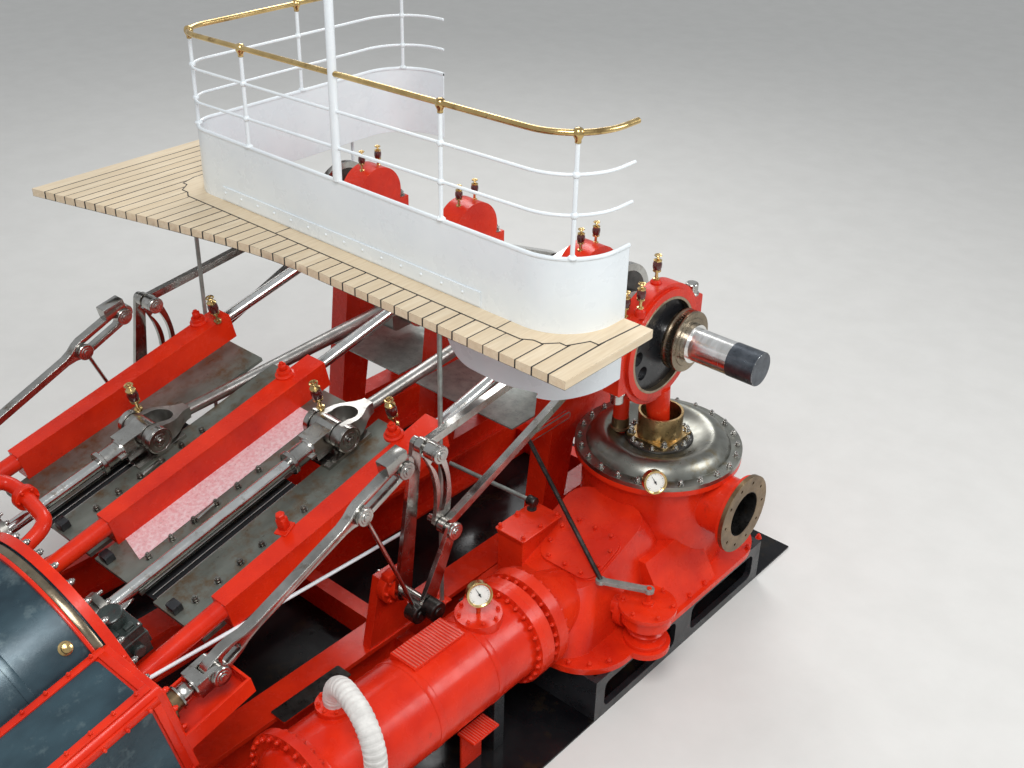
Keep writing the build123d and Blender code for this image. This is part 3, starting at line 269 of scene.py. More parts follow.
lining_bronze = finish(
    "worn_lining_bronze", (0.46, 0.37, 0.26), (0.3, 0.235, 0.16), 0.9, (0.28, 0.46), 7, relief=0.08, depth=0.0006,
    stain=(0.16, 0.11, 0.06))
trunk_brass = finish(
    "oiled_brass", (0.6, 0.44, 0.22), (0.4, 0.27, 0.12), 1, (0.24, 0.44), 7, relief=0.06, depth=0.0006,
    stain=(0.14, 0.08, 0.035), stained=(0.5, 0.72))
collar_steel = finish(
    "browned_collar", (0.34, 0.28, 0.2), (0.22, 0.175, 0.12), 1, (0.18, 0.34), 6, relief=0.04, pits=60, depth=0.0005,
    stain=(0.12, 0.08, 0.045))
band_steel = finish(
    "blued_shaft_end", (0.13, 0.145, 0.165), (0.075, 0.085, 0.1), 0.9, (0.24, 0.42), 14, pits=150, depth=0.0006,
    edge=0.002)
green_black = finish(
    "lubricator_enamel", (0.045, 0.06, 0.055), (0.02, 0.028, 0.026), 0.2, (0.2, 0.38), 8, stain=(0.07, 0.015, 0.012),
    stained=(0.56, 0.72), coat=0.2, worn=(0.16, 0.18, 0.16))
caulk = finish("black_seam_pitch", (0.02, 0.018, 0.016), (0.035, 0.03, 0.026), gloss=(0.45, 0.7), mottle=30, edge=0)


def plank_finish(number, yellowed):
    """Pale scrubbed pine with grain along the plank, trodden grey in places."""
    tones = []
    for fresh, aged in (((0.83, 0.7, 0.51), (0.68, 0.54, 0.36)), ((0.73, 0.58, 0.39), (0.66, 0.52, 0.34))):
        tones.append([new + (old - new) * yellowed for new, old in zip(fresh, aged)])
    made = finish(
        f"scrubbed_pine_{number}", *tones, gloss=(0.5, 0.72), along=(16, 1.1, 16), relief=0.3, pits=26, depth=0.0012,
        edge=0)
    tree = made.node_tree
    shader = tree.nodes["Principled BSDF"]
    grain = shader.inputs["Base Color"].links[0].from_socket
    trodden = cloud(tree, tree.nodes["Texture Coordinate"].outputs["Object"], 1.4, 6)
    greyed = blend_colours(tree, spread(tree, trodden, 0.45, 0.75, 0, 0.3), grain, (0.5, 0.42, 0.31))
    tree.links.new(greyed, shader.inputs["Base Color"])
    return made


pines = [plank_finish(number + 1, yellowed) for number, yellowed in enumerate((0.02, 0.34, 0.17, 0.46))]
dial_white = finish(
    "dial_white", (0.86, 0.85, 0.8), (0.8, 0.79, 0.73), gloss=(0.2, 0.3), mottle=20, relief=0.02, edge=0)
dial_black = finish(
    "dial_black", (0.02, 0.02, 0.02), (0.03, 0.03, 0.03), gloss=(0.3, 0.4), mottle=20, relief=0.02, edge=0)
cup_glass = finish(
    "dark_red_cup_glass", (0.1, 0.012, 0.01), (0.05, 0.006, 0.006), gloss=(0.05, 0.12), mottle=12, relief=0.02,
    coat=0.8, edge=0)
pink_sheet = finish(
    "pink_speckled_sheet", (0.86, 0.66, 0.67), (0.76, 0.4, 0.42), gloss=(0.35, 0.55), mottle=48, relief=0.2, pits=160,
    depth=0.001, stain=(0.5, 0.26, 0.26), stained=(0.6, 0.64), edge=0)
faded_red = finish("faded_pad_red", (0.72, 0.13, 0.09), (0.6, 0.08, 0.055), gloss=(0.4, 0.6), mottle=16)

finishes = {
    "red_enamel": (red, cast_red, faded_red),
    "bright_steel": (steel, dark_steel, oiled_steel, collar_steel, band_steel, pale_steel),
    "guide_grey": (plate_grey, pink_sheet), "white_paint": (white, tape),
    "black_paint": (black, green_black, painted_shade_black), "blue_cladding": (blue_sheet,), "pine_planks": (*pines, caulk),
    "brass": (brass,), "bronze": (bronze,)}
slot_of_node = {part["node"]: part["material_slot"] for part in frame["record"]["subparts"]}


def painted(piece, material):
    piece.data.materials.clear()
    piece.data.materials.append(material)
    return piece


own_finish = {}
# The drip tray's black sheet is painted shade for the dark space under the engine
for material, names in (
    (turned_steel, "crankshaft"), (rod_steel, "tie_rods high_piston_rod low_piston_rod"),
    (cast_red, "condenser_casting pump_barrel pump_strap bearing_caps"),
    (forged_steel, "low_connecting_rod high_connecting_rod"), (oiled_steel, "low_gland high_gland"),
    (black, "pump_sheave"), (lining_bronze, "strap_lining"), (trunk_brass, "pump_trunk"),
    (dark_steel, "left_gear_sheaves right_gear_sheaves"), (tape, "lagged_pipe"), (painted_shade_black, "drip_tray"),
    (cover_steel, "pump_cover"), (green_black, "lubricator"), (pale_steel, "injection_lever splash_plates")):
    own_finish.update(dict.fromkeys(names.split(), material))
for name, cad_part in nodes.items():
    painted(cad_part, own_finish.get(name, finishes[slot_of_node[name]][0]))


# Modelling helpers
DOUBLE = 0.00002
templates = []


def clear_selection():
    if bpy.context.object and bpy.context.object.mode != "OBJECT":
        bpy.ops.object.mode_set(mode="OBJECT")
    bpy.ops.object.select_all(action="DESELECT")


def pick(piece):
    clear_selection()
    piece.select_set(True)
    bpy.context.view_layer.objects.active = piece


def open_mesh(piece):
    """Goes into edit mode on one piece, with all of it selected."""
    pick(piece)
    bpy.ops.object.mode_set(mode="EDIT")
    bpy.ops.mesh.select_all(action="SELECT")


def close_mesh(merge=0.0, outward=True):
    """Merges what lies closer than a distance, turns the faces outward and leaves edit mode."""
    bpy.ops.mesh.select_all(action="SELECT")
    if merge:
        bpy.ops.mesh.remove_doubles(threshold=merge)
    if outward:
        bpy.ops.mesh.normals_make_consistent(inside=False)
    bpy.ops.object.mode_set(mode="OBJECT")


def keep(piece, name, material=None):
    """Names a finished piece, gives it its finish and fixes it to the engine."""
    piece.name = name
    if material:
        painted(piece, material)
    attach(piece, "root")
    return piece


def smooth(piece, angle=35):
    pick(piece)
    bpy.ops.object.shade_smooth_by_angle(angle=radians(angle))


def bevelled(piece, width, segments=2, angle=35):
    """Rounds the sharp edges of a piece."""
    bpy.context.view_layer.objects.active = piece
    rounding = piece.modifiers.new("rounding", "BEVEL")
    rounding.width = width
    rounding.segments = segments
    rounding.limit_method = "ANGLE"
    rounding.angle_limit = radians(angle)
    bpy.ops.object.modifier_apply(modifier=rounding.name)
    return piece


def drawn(places):
    """Line through the places, drawn point by point and left in edit mode with all of it selected."""
    clear_selection()
    bpy.ops.mesh.primitive_plane_add(size=1)
    open_mesh(bpy.context.object)
    bpy.ops.mesh.merge(type="CENTER")
    bpy.ops.transform.translate(value=places[0])
    for here, there in zip(places, places[1:]):
        step = [to - start for start, to in zip(here, there)]
        bpy.ops.mesh.extrude_region_move(TRANSFORM_OT_translate={"value": step})
    bpy.ops.mesh.select_all(action="SELECT")
    return bpy.context.object


def turned(profile, steps=24, angle=35):
    """Lathe work: the profile of radii and heights is spun about the Z axis."""
    piece = drawn([(radius, 0, height) for radius, height in (*profile, profile[0])])
    bpy.ops.mesh.spin(steps=steps, angle=2 * pi, center=(0, 0, 0), axis=(0, 0, 1))
    close_mesh(DOUBLE)
    smooth(piece, angle)
    return piece


def block(size, middle=(0, 0, 0), rounding=0.004, segments=2):
    """Block with rounded edges."""
    clear_selection()
    bpy.ops.mesh.primitive_cube_add(size=1, location=middle)
    piece = bpy.context.object
    piece.scale = size
    bpy.ops.object.transform_apply(location=True, rotation=True, scale=True)
    if rounding:
        bevelled(piece, rounding, segments)
    smooth(piece)
    return piece


def cut_plate(outline, low, high, rounding=0.0, turn=None):
    """Plate with the outline drawn corner by corner, filled, pulled up to its thickness and laid in its place."""
    piece = drawn([(x, y, low) for x, y in outline])
    bpy.ops.mesh.edge_face_add()
    bpy.ops.mesh.extrude_region_move(TRANSFORM_OT_translate={"value": (0, 0, high - low)})
    close_mesh()
    if rounding:
        bevelled(piece, rounding, 1, 50)
    smooth(piece, 30)
    return moved(piece, turn) if turn else piece


def round_corners(width, length, radius, steps=5, middle=(0, 0)):
    """Outline of a rectangle with rounded corners."""
    outline = []
    for quarter, (x, y) in enumerate(((1, 1), (-1, 1), (-1, -1), (1, -1))):
        for step in range(steps + 1):
            angle = radians(90 * quarter + 90 * step / steps)
            outline.append((middle[0] + x * (width / 2 - radius) + radius * cos(angle),
                            middle[1] + y * (length / 2 - radius) + radius * sin(angle)))
    return outline


def moved(piece, matrix):
    piece.data.transform(matrix)
    return piece


def joined(*pieces):
    clear_selection()
    for piece in pieces:
        piece.select_set(True)
    bpy.context.view_layer.objects.active = pieces[0]
    bpy.ops.object.join()
    return pieces[0]


def turned_fitting(profile, steps, material, angle=35):
    """Lathe work that is modelled once and copied to its places."""
    return template(painted(turned(profile, steps, angle), material))


def duplicate(piece):
    """Copy of a piece with a mesh of its own."""
    copy = piece.copy()
    copy.data = piece.data.copy()
    bpy.context.collection.objects.link(copy)
    return copy


def template(piece):
    """A small fitting that is copied to its places and put away at the end."""
    templates.append(piece)
    return piece


def scatter(name, fitting, places):
    """Copies a fitting to each place and joins the copies into one piece."""
    clear_selection()
    for place in places:
        copy = moved(duplicate(fitting), place)
        copy.select_set(True)
    bpy.context.view_layer.objects.active = copy
    if len(places) > 1:
        bpy.ops.object.join()
    return keep(copy, name)


def bent_bar(points, radius, material, resolution=3, smoothness=None):
    """Round bar or pipe along points; the corners are rounded where a smoothness is given."""
    line = bpy.data.curves.new("bar", "CURVE")
    line.dimensions = "3D"
    line.bevel_depth = radius
    line.bevel_resolution = resolution
    line.use_fill_caps = True
    run = line.splines.new("NURBS" if smoothness else "POLY")
    run.points.add(len(points) - 1)
    if smoothness:
        run.order_u = 3
        run.use_endpoint_u = True
        run.resolution_u = smoothness
    for point, place in zip(run.points, points):
        point.co = (*place, 1)
    piece = bpy.data.objects.new("bar", line)
    bpy.context.collection.objects.link(piece)
    pick(piece)
    bpy.ops.object.convert(target="MESH")
    piece = bpy.context.object
    open_mesh(piece)
    close_mesh(DOUBLE)
    smooth(piece, 45)
    return painted(piece, material)


# Small fittings, modelled once
def nut_and_stud(metal):
    """Hexagon nut of unit width on a washer, with the stud end standing out of it."""
    parts = []
    for sides, radius, depth, height in ((12, 0.76, 0.12, 0.06), (6, 0.56, 0.72, 0.48), (8, 0.3, 0.3, 0.97)):
        clear_selection()
        bpy.ops.mesh.primitive_cylinder_add(vertices=sides, radius=radius, depth=depth, location=(0, 0, height))
        bpy.ops.object.transform_apply(location=True, rotation=True, scale=True)
        parts.append(bpy.context.object)
    bevelled(parts[1], 0.07, 1, 50)
    piece = joined(*parts)
    smooth(piece, 40)
    return template(painted(piece, metal))


def round_rivet(metal):
    return turned_fitting(((0, 0), (0.5, 0), (0.44, 0.2), (0.2, 0.37), (0, 0.4)), 8, metal, 60)


red_nut = nut_and_stud(red)
steel_nut = nut_and_stud(steel)
oiled_nut = nut_and_stud(oiled_steel)
white_rivet = round_rivet(white)
steel_rivet = round_rivet(steel)


def oil_cup():
    """Brass oil cup: foot, stem, dark red glass body, brass lid and a small wheel on its spindle."""
    foot = ((0, 0), (0.02, 0), (0.02, 0.012), (0.01, 0.016), (0.009, 0.05), (0.024, 0.056), (0.024, 0.066), (0, 0.066))
    glass = ((0, 0.066), (0.022, 0.066), (0.027, 0.085), (0.027, 0.105), (0.021, 0.12), (0, 0.12))
    lid = ((0, 0.119), (0.024, 0.119), (0.025, 0.126), (0.01, 0.134), (0.006, 0.14), (0.006, 0.158), (0, 0.158))
    wheel = ((0.014, 0.152), (0.02, 0.15), (0.023, 0.154), (0.02, 0.158), (0.014, 0.156))
    parts = []
    for profile, angle, material in ((foot, 35, brass), (glass, 60, cup_glass), (lid, 35, brass), (wheel, 35, brass)):
        parts.append(painted(turned(profile, 16, angle), material))
    for size in ((0.032, 0.006, 0.004), (0.006, 0.032, 0.004)):
        parts.append(painted(block(size, (0, 0, 0.154), 0.001, 1), brass))
    return template(joined(*parts))


cup = oil_cup()


# Deck planks
def cut_flat(piece, place, normal):
    """Cuts a closed piece with a plane, throws away the side that the normal points to and closes the cut."""
    open_mesh(piece)
    bpy.ops.mesh.bisect(plane_co=place, plane_no=normal, use_fill=True, clear_outer=True)
    bpy.ops.object.mode_set(mode="OBJECT")
    return piece


def merged_copy(name):
    """Copy of a node's mesh with its loose triangles merged."""
    copy = duplicate(nodes[name])
    copy.parent = None
    for key in list(copy.keys()):
        del copy[key]
    open_mesh(copy)
    close_mesh(0.00005, outward=False)
    return copy


deck = merged_copy("deck_planking")
SEAM = 0.008


def plank_seam(count):
    """Where a seam lies, counted to the left; the planks narrow towards the left as in the photo."""
    if count <= 0:
        return 1.133 - 0.1072 * count
    if count <= 25:
        return 1.133 - 0.1072 * count + 0.000525 * count ** 2
    return -1.219 - 0.0805 * (count - 25)


planks = []
seams = [None] + [plank_seam(count) for count in range(34, -8, -1)] + [None]
for number, (left, right) in enumerate(zip(seams, seams[1:])):
    plank = duplicate(deck)
    if left is not None:
        cut_flat(plank, (left + SEAM / 2, 0, 0), (-1, 0, 0))
    if right is not None and plank.data.vertices:
        cut_flat(plank, (right - SEAM / 2, 0, 0), (1, 0, 0))
    if not plank.data.vertices:
        bpy.data.objects.remove(plank)
        continue
    bevelled(plank, 0.0022, 1, 40)
    planks.append(painted(plank, pines[number * 7 % 4 if number % 3 else number % 4]))
boards = joined(*planks)
smooth(boards, 30)
keep(boards, "deck_boards")
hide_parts("deck_planking")
deck.data.transform(shift(0, 0, -0.001) @ Matrix.Diagonal((0.9995, 0.9995, 1, 1)))
keep(deck, "deck_seams", caulk)
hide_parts("deck_planking")


# Coaming trim and rails
def coaming_path(inset, height):
    """Points along the coaming, with its three rounded corners."""
    places = []
    corners = (((1.465, -0.823), 0.33, 0, -90), ((-1.15, -0.953), 0.2, -90, -180), ((-1.0, 0.42), 0.35, 180, 90))
    places.append(Vector((1.795 - inset, -0.72, height)))
    for (x, y), radius, first, last in corners:
        for step in range(13):
            angle = radians(first + (last - first) * step / 12)
            places.append(Vector((x + (radius - inset) * cos(angle), y + (radius - inset) * sin(angle), height)))
    places.append(Vector((-0.94, 0.77 - inset, height)))
    return places


MARGIN = (
    (1.905, -0.722), (1.882, -1.048), (1.828, -1.048), (1.767, -1.168), (1.725, -1.168), (1.664, -1.236),
    (1.608, -1.236), (1.549, -1.273), (-1.235, -1.273), (-1.29, -1.236), (-1.345, -1.236), (-1.4, -1.16),
    (-1.44, -1.16), (-1.475, -1.05), (-1.475, 0.379))
inner_edge = [(place.x, place.y) for place in coaming_path(-0.001, DECK)[:-14]] + [(-1.351, 0.379)]
margin = cut_plate(list(MARGIN) + inner_edge[::-1], DECK - 0.02, DECK + 0.0012, 0.0015)
keep(margin, "margin_plank", pines[2])
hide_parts("deck_planking")
around = []
for (x, y), (next_x, next_y) in zip(MARGIN, MARGIN[1:]):
    run = Vector((next_x - x, next_y - y, 0))
    strip = block((run.length + 0.006, 0.0075, 0.0022), rounding=0)
    lie = shift(x + run.x / 2, y + run.y / 2, DECK + 0.0006) @ run.to_track_quat("X", "Z").to_matrix().to_4x4()
    around.append(moved(strip, lie))
for butt in (1.387, -0.38):
    around.append(block((0.0065, 0.112, 0.003), (butt, -1.216, DECK + 0.0008), 0))
keep(joined(*around), "margin_seams", caulk)
bead = bent_bar(coaming_path(0, DECK + COAMING - 0.004), 0.0125, white, 2)
keep(bead, "coaming_bead")
doubler = block((2.186, 0.008, 0.088), (0.082, -1.163, 2.304), 0.002, 1)
keep(doubler, "coaming_doubler", white)
scatter("coaming_rivets", white_rivet, [
    seat((-0.98 + 0.156 * number, -1.167, 2.31), (0, -1, 0), size=0.02) for number in range(14)])

STANCHIONS = ((-1.291, -1.094), (-0.72, -1.153), (0.88, -1.153), (1.694, -1.06), (-1.35, -0.197), (-1.247, 0.667))
RAIL_RISE = 0.0226935


def rail_level(height, x):
    return DECK + height + (x + 0.72) * RAIL_RISE


ball_white = turned_fitting(
    ((0, -0.021), (0.012, -0.0175), (0.019, -0.009), (0.021, 0), (0.019, 0.009), (0.012, 0.0175), (0, 0.021)), 16,
    white, 80)
ball_brass = turned_fitting((
    (0, -0.052), (0.0165, -0.05), (0.0165, -0.034), (0.021, -0.026), (0.027, -0.014), (0.029, 0), (0.026, 0.014),
    (0.018, 0.023), (0, 0.027)), 18, brass, 60)
foot_white = turned_fitting(((0, 0), (0.026, 0), (0.026, 0.006), (0.016, 0.016), (0, 0.016)), 16, white)
scatter("rail_balls", ball_white, [
    seat((x, y, rail_level(height, x))) for x, y in STANCHIONS for height in (0.6, 0.81)])
scatter("handrail_balls", ball_brass, [seat((x, y, rail_level(HANDRAIL, x))) for x, y in STANCHIONS])
scatter("stanchion_feet", foot_white, [seat((x, y, DECK + COAMING)) for x, y in STANCHIONS])

# Bearings
scatter("cap_nuts", steel_nut, [
    seat((line + across, side * 0.237, 1.925), turn=0.3, size=0.04)
    for line in BEARINGS for side in (-1, 1) for across in (-0.05, 0.05)])
scatter("cap_oil_cups", cup, [
    seat((line, y, 2.176), turn=y * 9, size=0.92) for line in BEARINGS for y in (-0.075, 0.075)])

# Pump
scatter("cover_nuts", steel_nut, bolt_circle((PUMP_LINE, 0, 1.065), (0, 0, 1), 0.49, 24, 0.1, 0.028))
scatter("trunk_nuts", steel_nut, [
    seat((PUMP_LINE + x, y, 1.128), turn=0.4, size=0.034) for x in (-0.122, 0.122) for y in (-0.122, 0.122)])

# Condenser
for label, y, radius, up in (
    ("far_flange_nuts", -1.57, 0.284, (0, -1, 0)), ("spool_flange_nuts", -1.425, 0.284, (0, -1, 0)),
    ("spool_back_nuts", -1.35, 0.284, (0, 1, 0)), ("near_flange_nuts", -3.06, 0.295, (0, -1, 0)),
    ("near_back_nuts", -3.01, 0.295, (0, 1, 0))):
    scatter(label, red_nut, bolt_circle((CONDENSER_LINE, y, SHELL_LEVEL), up, radius, 28, 0.05, 0.024))
bands = []
for y in (-1.86, -2.3, -2.98):
    band = turned(
        ((0.2615, -0.022), (0.2645, -0.022), (0.2655, -0.018), (0.2655, 0.018), (0.2645, 0.022), (0.2615, 0.022)), 64)
    bands.append(moved(band, seat((CONDENSER_LINE, y, SHELL_LEVEL), (0, -1, 0))))
keep(joined(*bands), "shell_bands", red)
for label, x, y, radius in (
    ("gauge_boss_nuts", CONDENSER_LINE, -1.76, 0.108), ("pipe_boss_nuts", *PIPE_FOOT[:2], 0.078)):
    scatter(label, red_nut, bolt_circle((x, y, BOSS_TOP), (0, 0, 1), radius, 8, 0.2, 0.02))

# Cylinder flanges and glands
scatter("low_flange_nuts", steel_nut, bolt_circle(slope(LOW_LINE, FACE, 0), UP_SLOPE, 0.6, 32, 0.06, 0.03))
scatter("high_flange_nuts", steel_nut, bolt_circle(slope(HIGH_LINE, FACE, 0), UP_SLOPE, 0.29, 16, 0.06, 0.028))
for line, label in ENGINES:
    scatter(label + "_gland_nuts", steel_nut, bolt_circle(slope(line, FACE - 0.172, 0), UP_SLOPE, 0.09, 4, 0.5, 0.026))

# Free end of the shaft and the pump gear
band = turned(
    ((0, 0.0008), (0.0985, 0.0008), (0.1022, -0.004), (0.1022, -0.178), (0.1004, -0.18), (0.1004, -0.001), (0, -0.001)),
    48)
keep(moved(band, seat((2.2602, 0, SHAFT), ALONG_SHAFT)), "shaft_end_band", band_steel)
collar = turned((
    (0.12, -0.0008), (0.1855, -0.0008), (0.1866, 0.003), (0.1866, 0.02), (0.1852, 0.022), (0.1852, 0.054),
    (0.1866, 0.056), (0.1866, 0.077), (0.1855, 0.0806), (0.15, 0.0806), (0.147, 0.0845), (0.12, 0.0845)), 56)
keep(moved(collar, seat((1.702, 0, SHAFT), ALONG_SHAFT)), "collar_face", collar_steel)
bolt_head = turned(((0, 0), (0.6, 0), (0.6, 0.16), (0.5, 0.18), (0.5, 0.86), (0.44, 0.94), (0, 0.94)), 20)
strap_nut = template(painted(bevelled(bolt_head, 0.02, 1, 50), steel))
bolts = [(y, *end) for y in (0.205, -0.485) for end in ((2.004, 1), (1.626, -1))]
scatter("strap_bolt_heads", strap_nut, [seat((PUMP_LINE, y, z), (0, 0, way), size=0.078) for y, z, way in bolts])
cup_boss = turned_fitting(((0, -0.03), (0.034, -0.03), (0.034, 0.012), (0.024, 0.022), (0, 0.022)), 16, red)
places = []
for angle in (90, 140, 128):
    y = -0.14 + 0.37 * cos(radians(angle))
    places.append(seat((PUMP_LINE + (0.03 if angle == 128 else -0.03), y, SHAFT + 0.37 * sin(radians(angle)))))
scatter("strap_cup_bosses", cup_boss, places)
scatter("strap_oil_cups", cup, [place @ shift(0, 0, 0.02) for place in places])
ring = turned(((0.145, 0), (0.212, 0), (0.212, 0.008), (0.206, 0.011), (0.145, 0.011)), 40)
keep(moved(ring, seat((PUMP_LINE, 0, 1.1))), "trunk_seat_ring", dark_steel)
turns = [radians(90 * quarter + lean) for quarter in range(4) for lean in (-22, 0, 22)]
places = [seat((PUMP_LINE + 0.187 * cos(turn), 0.187 * sin(turn), 1.11), turn=turn, size=0.024) for turn in turns]
scatter("trunk_seat_nuts", steel_nut, places)
lining = turned(((0.143, 0), (0.1446, 0), (0.1446, 0.2975), (0.143, 0.2975)), 40)
back = turned(((0, 0.002), (0.1443, 0.002), (0.1443, 0.006), (0, 0.006)), 40)
keep(moved(joined(lining, back), seat((1.986, 0, 0.82), ALONG_SHAFT)), "nozzle_lining", dark_steel)
pipe_foot = turned(((0.0505, 0), (0.066, 0), (0.066, 0.012), (0.056, 0.018), (0.054, 0.08), (0.0505, 0.08)), 24)
keep(moved(pipe_foot, seat((1.41, -0.11, 1.118))), "relief_pipe_foot", bronze)

# Condenser: hatch, box, valve, steps and gauges
lean = radians(20)
hatch = Matrix.Translation((1.691, -0.76 - 0.075 * cos(lean), 0.75 - 0.075 * sin(lean))) @ spun(lean, "X")
hatch_places = [(x, y) for x in (-0.12, 0, 0.12) for y in (-0.15, 0.15)]
hatch_places += [(x, y) for x in (-0.18, 0.18) for y in (-0.06, 0.06)]
scatter("hatch_bolts", red_nut, [
    hatch @ shift(x, y, 0.021) @ spun(x * 9) @ shift(0, 0, 0, 0.026) for x, y in hatch_places])
lip = cut_plate(round_corners(0.424, 0.364, 0.096, 6), -0.002, 0.006, 0.002, hatch)
keep(lip, "hatch_joint", cast_red)
lid = cut_plate(round_corners(0.226, 0.366, 0.018, 3, (1.365, -0.925)), 0.8, 0.811, 0.003)
keep(lid, "box_lid", cast_red)
scatter("box_lid_bolts", red_nut, [
    seat((1.365 + x, -0.925 + y, 0.811), turn=y * 7, size=0.024) for x in (-0.09, 0.09) for y in (-0.155, 0, 0.155)])
places = [seat((2.187, y, 0.34), turn=y, size=0.028) for y in (-0.52, -0.36, -0.2, 0.3, 0.44)]
for turn in (-22, -45, -68, -90):
    out = Vector((cos(radians(turn)), sin(radians(turn)), 0)) * 0.295
    places.append(seat((1.89 + out.x, -1.03 + out.y, 0.34), turn=turn, size=0.028))
scatter("base_flange_bolts", red_nut, places)
scatter("valve_cover_bolts", red_nut, bolt_circle((2.195, -0.84, 0.6), (0, 0, 1), 0.143, 6, 0.5, 0.024))
scatter("valve_branch_bolts", red_nut, bolt_circle((2.0215, -0.84, 0.47), (-1, 0, 0), 0.08, 6, 0.2, 0.02))
ribs = [block((0.172, 0.008, 0.006), (1.68, -2.105 - 0.17 + 0.02 * number, 0.839), 0.001, 1) for number in range(18)]
ribs += [block((0.112, 0.006, 0.005), (1.93, -1.985 - 0.09 + 0.0165 * number, 0.302), 0.001, 1) for number in range(12)]
keep(joined(*ribs), "step_ribs", faded_red)
plate = cut_plate(round_corners(0.114, 0.484, 0.01, 2, (1.115, -2.44)), 0.3515, 0.3545, 0.001)
keep(plate, "girder_step_plate", dark_steel)
facing = Vector((0.78, -0.55, 0.3)).normalized()
for number, middle in enumerate((Vector((1.945, -0.505, 1.16)), Vector((1.72, -1.76, 0.977)))):
    rim = painted(
        turned(((0.0575, 0), (0.0686, 0), (0.071, 0.004), (0.0705, 0.011), (0.064, 0.013), (0.0575, 0.009)), 40), brass)
    face = painted(turned(((0, 0.0008), (0.0585, 0.0008), (0.0585, 0.003), (0, 0.003)), 40), dial_white)
    marks = []
    for step in range(21):
        long = step % 5 == 0
        mark = block((0.0022 if long else 0.0011, 0.011 if long else 0.006, 0.0006), (0, 0.049, 0.0033), 0)
        marks.append(moved(mark, spun(radians(135 - 13.5 * step))))
    needle = cut_plate(((-0.003, -0.016), (0.003, -0.016), (0.0009, 0.043), (-0.0009, 0.043)), 0.0045, 0.0055)
    marks.append(moved(needle, spun(radians(28))))
    marks.append(turned(((0, 0.003), (0.007, 0.003), (0.006, 0.008), (0, 0.009)), 14))
    printed = painted(joined(*marks), dial_black)
    dial = joined(rim, face, printed)
    keep(moved(dial, seat(middle + facing * 0.021, facing)), f"gauge_dial_{number + 1}")


def lag_place(run):
    """Where the lagged pipe is after a length from its lower flange, and how it points there."""
    bend = 0.19
    quarter = bend * pi / 2
    if run < 0.01 + quarter:
        turn = max(0.0, (run - 0.01) / bend)
        out, rise, heading = bend - bend * cos(turn), min(run, 0.01) + bend * sin(turn), pi / 2 - turn
    elif run < 0.08 + quarter:
        out, rise, heading = bend + run - 0.01 - quarter, 0.2, 0.0
    elif run < 0.08 + 2 * quarter:
        turn = (run - 0.08 - quarter) / bend
        out, rise, heading = 0.26 + bend * sin(turn), 0.01 + bend * cos(turn), -turn
    else:
        out, rise, heading = 0.45, 0.01 - (run - 0.08 - 2 * quarter), -pi / 2
    side = Vector((cos(PIPE_TURN), sin(PIPE_TURN), 0))
    up = side * cos(heading) + Vector((0, 0, sin(heading)))
    return seat(Vector(PIPE_FOOT) + side * out + Vector((0, 0, rise)), up)


wrap = turned_fitting(((0.0515, 0), (0.0552, 0.003), (0.0562, 0.008), (0.0545, 0.022), (0.0515, 0.026)), 26, tape, 60)
scatter("lagging_tape", wrap, [lag_place(0.02 + 0.031 * number) for number in range(48)])

# Posts under the deck
for label, x in (("left", -1.01), ("right", 1.1)):
    post = bent_bar([(x, -1.4, z) for z in (0.352, 1.2, 2.184)], 0.0138, pale_steel)
    foot = painted(block((0.086, 0.086, 0.013), (x, -1.4, 0.347), 0.003), red)
    keep(joined(post, foot), label + "_post")
reach_rod = bent_bar([(1.94, -0.96, 0.705), (1.515, -0.79, 0.9175), (1.09, -0.62, 1.13)], 0.0145, dark_steel)
reach_bracket = painted(block((0.032, 0.424, 0.054), (1.0905, -0.435, 1.13), 0.012), red)
keep(joined(reach_rod, reach_bracket), "reach_rod")

# Cylinder flanges, bands on the cladding and chest panels
for (line, label), radius, barrel in zip(ENGINES, (0.62, 0.31), (0.59, 0.275)):
    start = endwise(line, 3.51, 0)
    rim = turned((
        (barrel - 0.07, 0.0502), (radius + 0.0015, 0.0502), (radius + 0.0025, 0.049), (radius + 0.0025, -0.001),
        (radius - 0.001, -0.001), (radius - 0.001, 0.0485), (barrel - 0.07, 0.0485)), 72)
    keep(moved(rim, start), label + "_flange_rim", red)
    band = turned((
        (barrel + 0.0002, -0.05), (radius - 0.008, -0.05), (radius - 0.006, -0.047), (radius - 0.006, -0.012),
        (radius - 0.008, -0.009), (barrel + 0.0002, -0.009)), 72)
    keep(moved(band, start), label + "_flange_band", collar_steel)
    belts = []
    for place in (-0.4, -0.86):
        belts.append(
            turned((
                (barrel + 0.0002, place), (barrel + 0.004, place), (barrel + 0.005, place + 0.006),
                (barrel + 0.005, place + 0.034), (barrel + 0.004, place + 0.04), (barrel + 0.0002, place + 0.04)), 72))
    keep(moved(joined(*belts), start), label + "_cladding_belts", blue_sheet)
    edge = turned((
        (barrel + 0.0002, -0.07), (radius - 0.002, -0.07), (radius, -0.066), (radius, -0.055), (radius - 0.002, -0.051),
        (barrel + 0.0002, -0.051)), 72)
    keep(moved(edge, start), label + "_cladding_edge", red)
drain = turned((
    (0, -0.01), (0.034, -0.01), (0.034, 0.004), (0.022, 0.01), (0.02, 0.03), (0.026, 0.034), (0.024, 0.044),
    (0.01, 0.05), (0, 0.05)), 20)
keep(
    moved(drain, seat(slope(LOW_LINE + 0.434, 3.65, 0.4), Vector((0.735, 0, 0)) + OFF_SLOPE * 0.678)), "cladding_knob",
    brass)

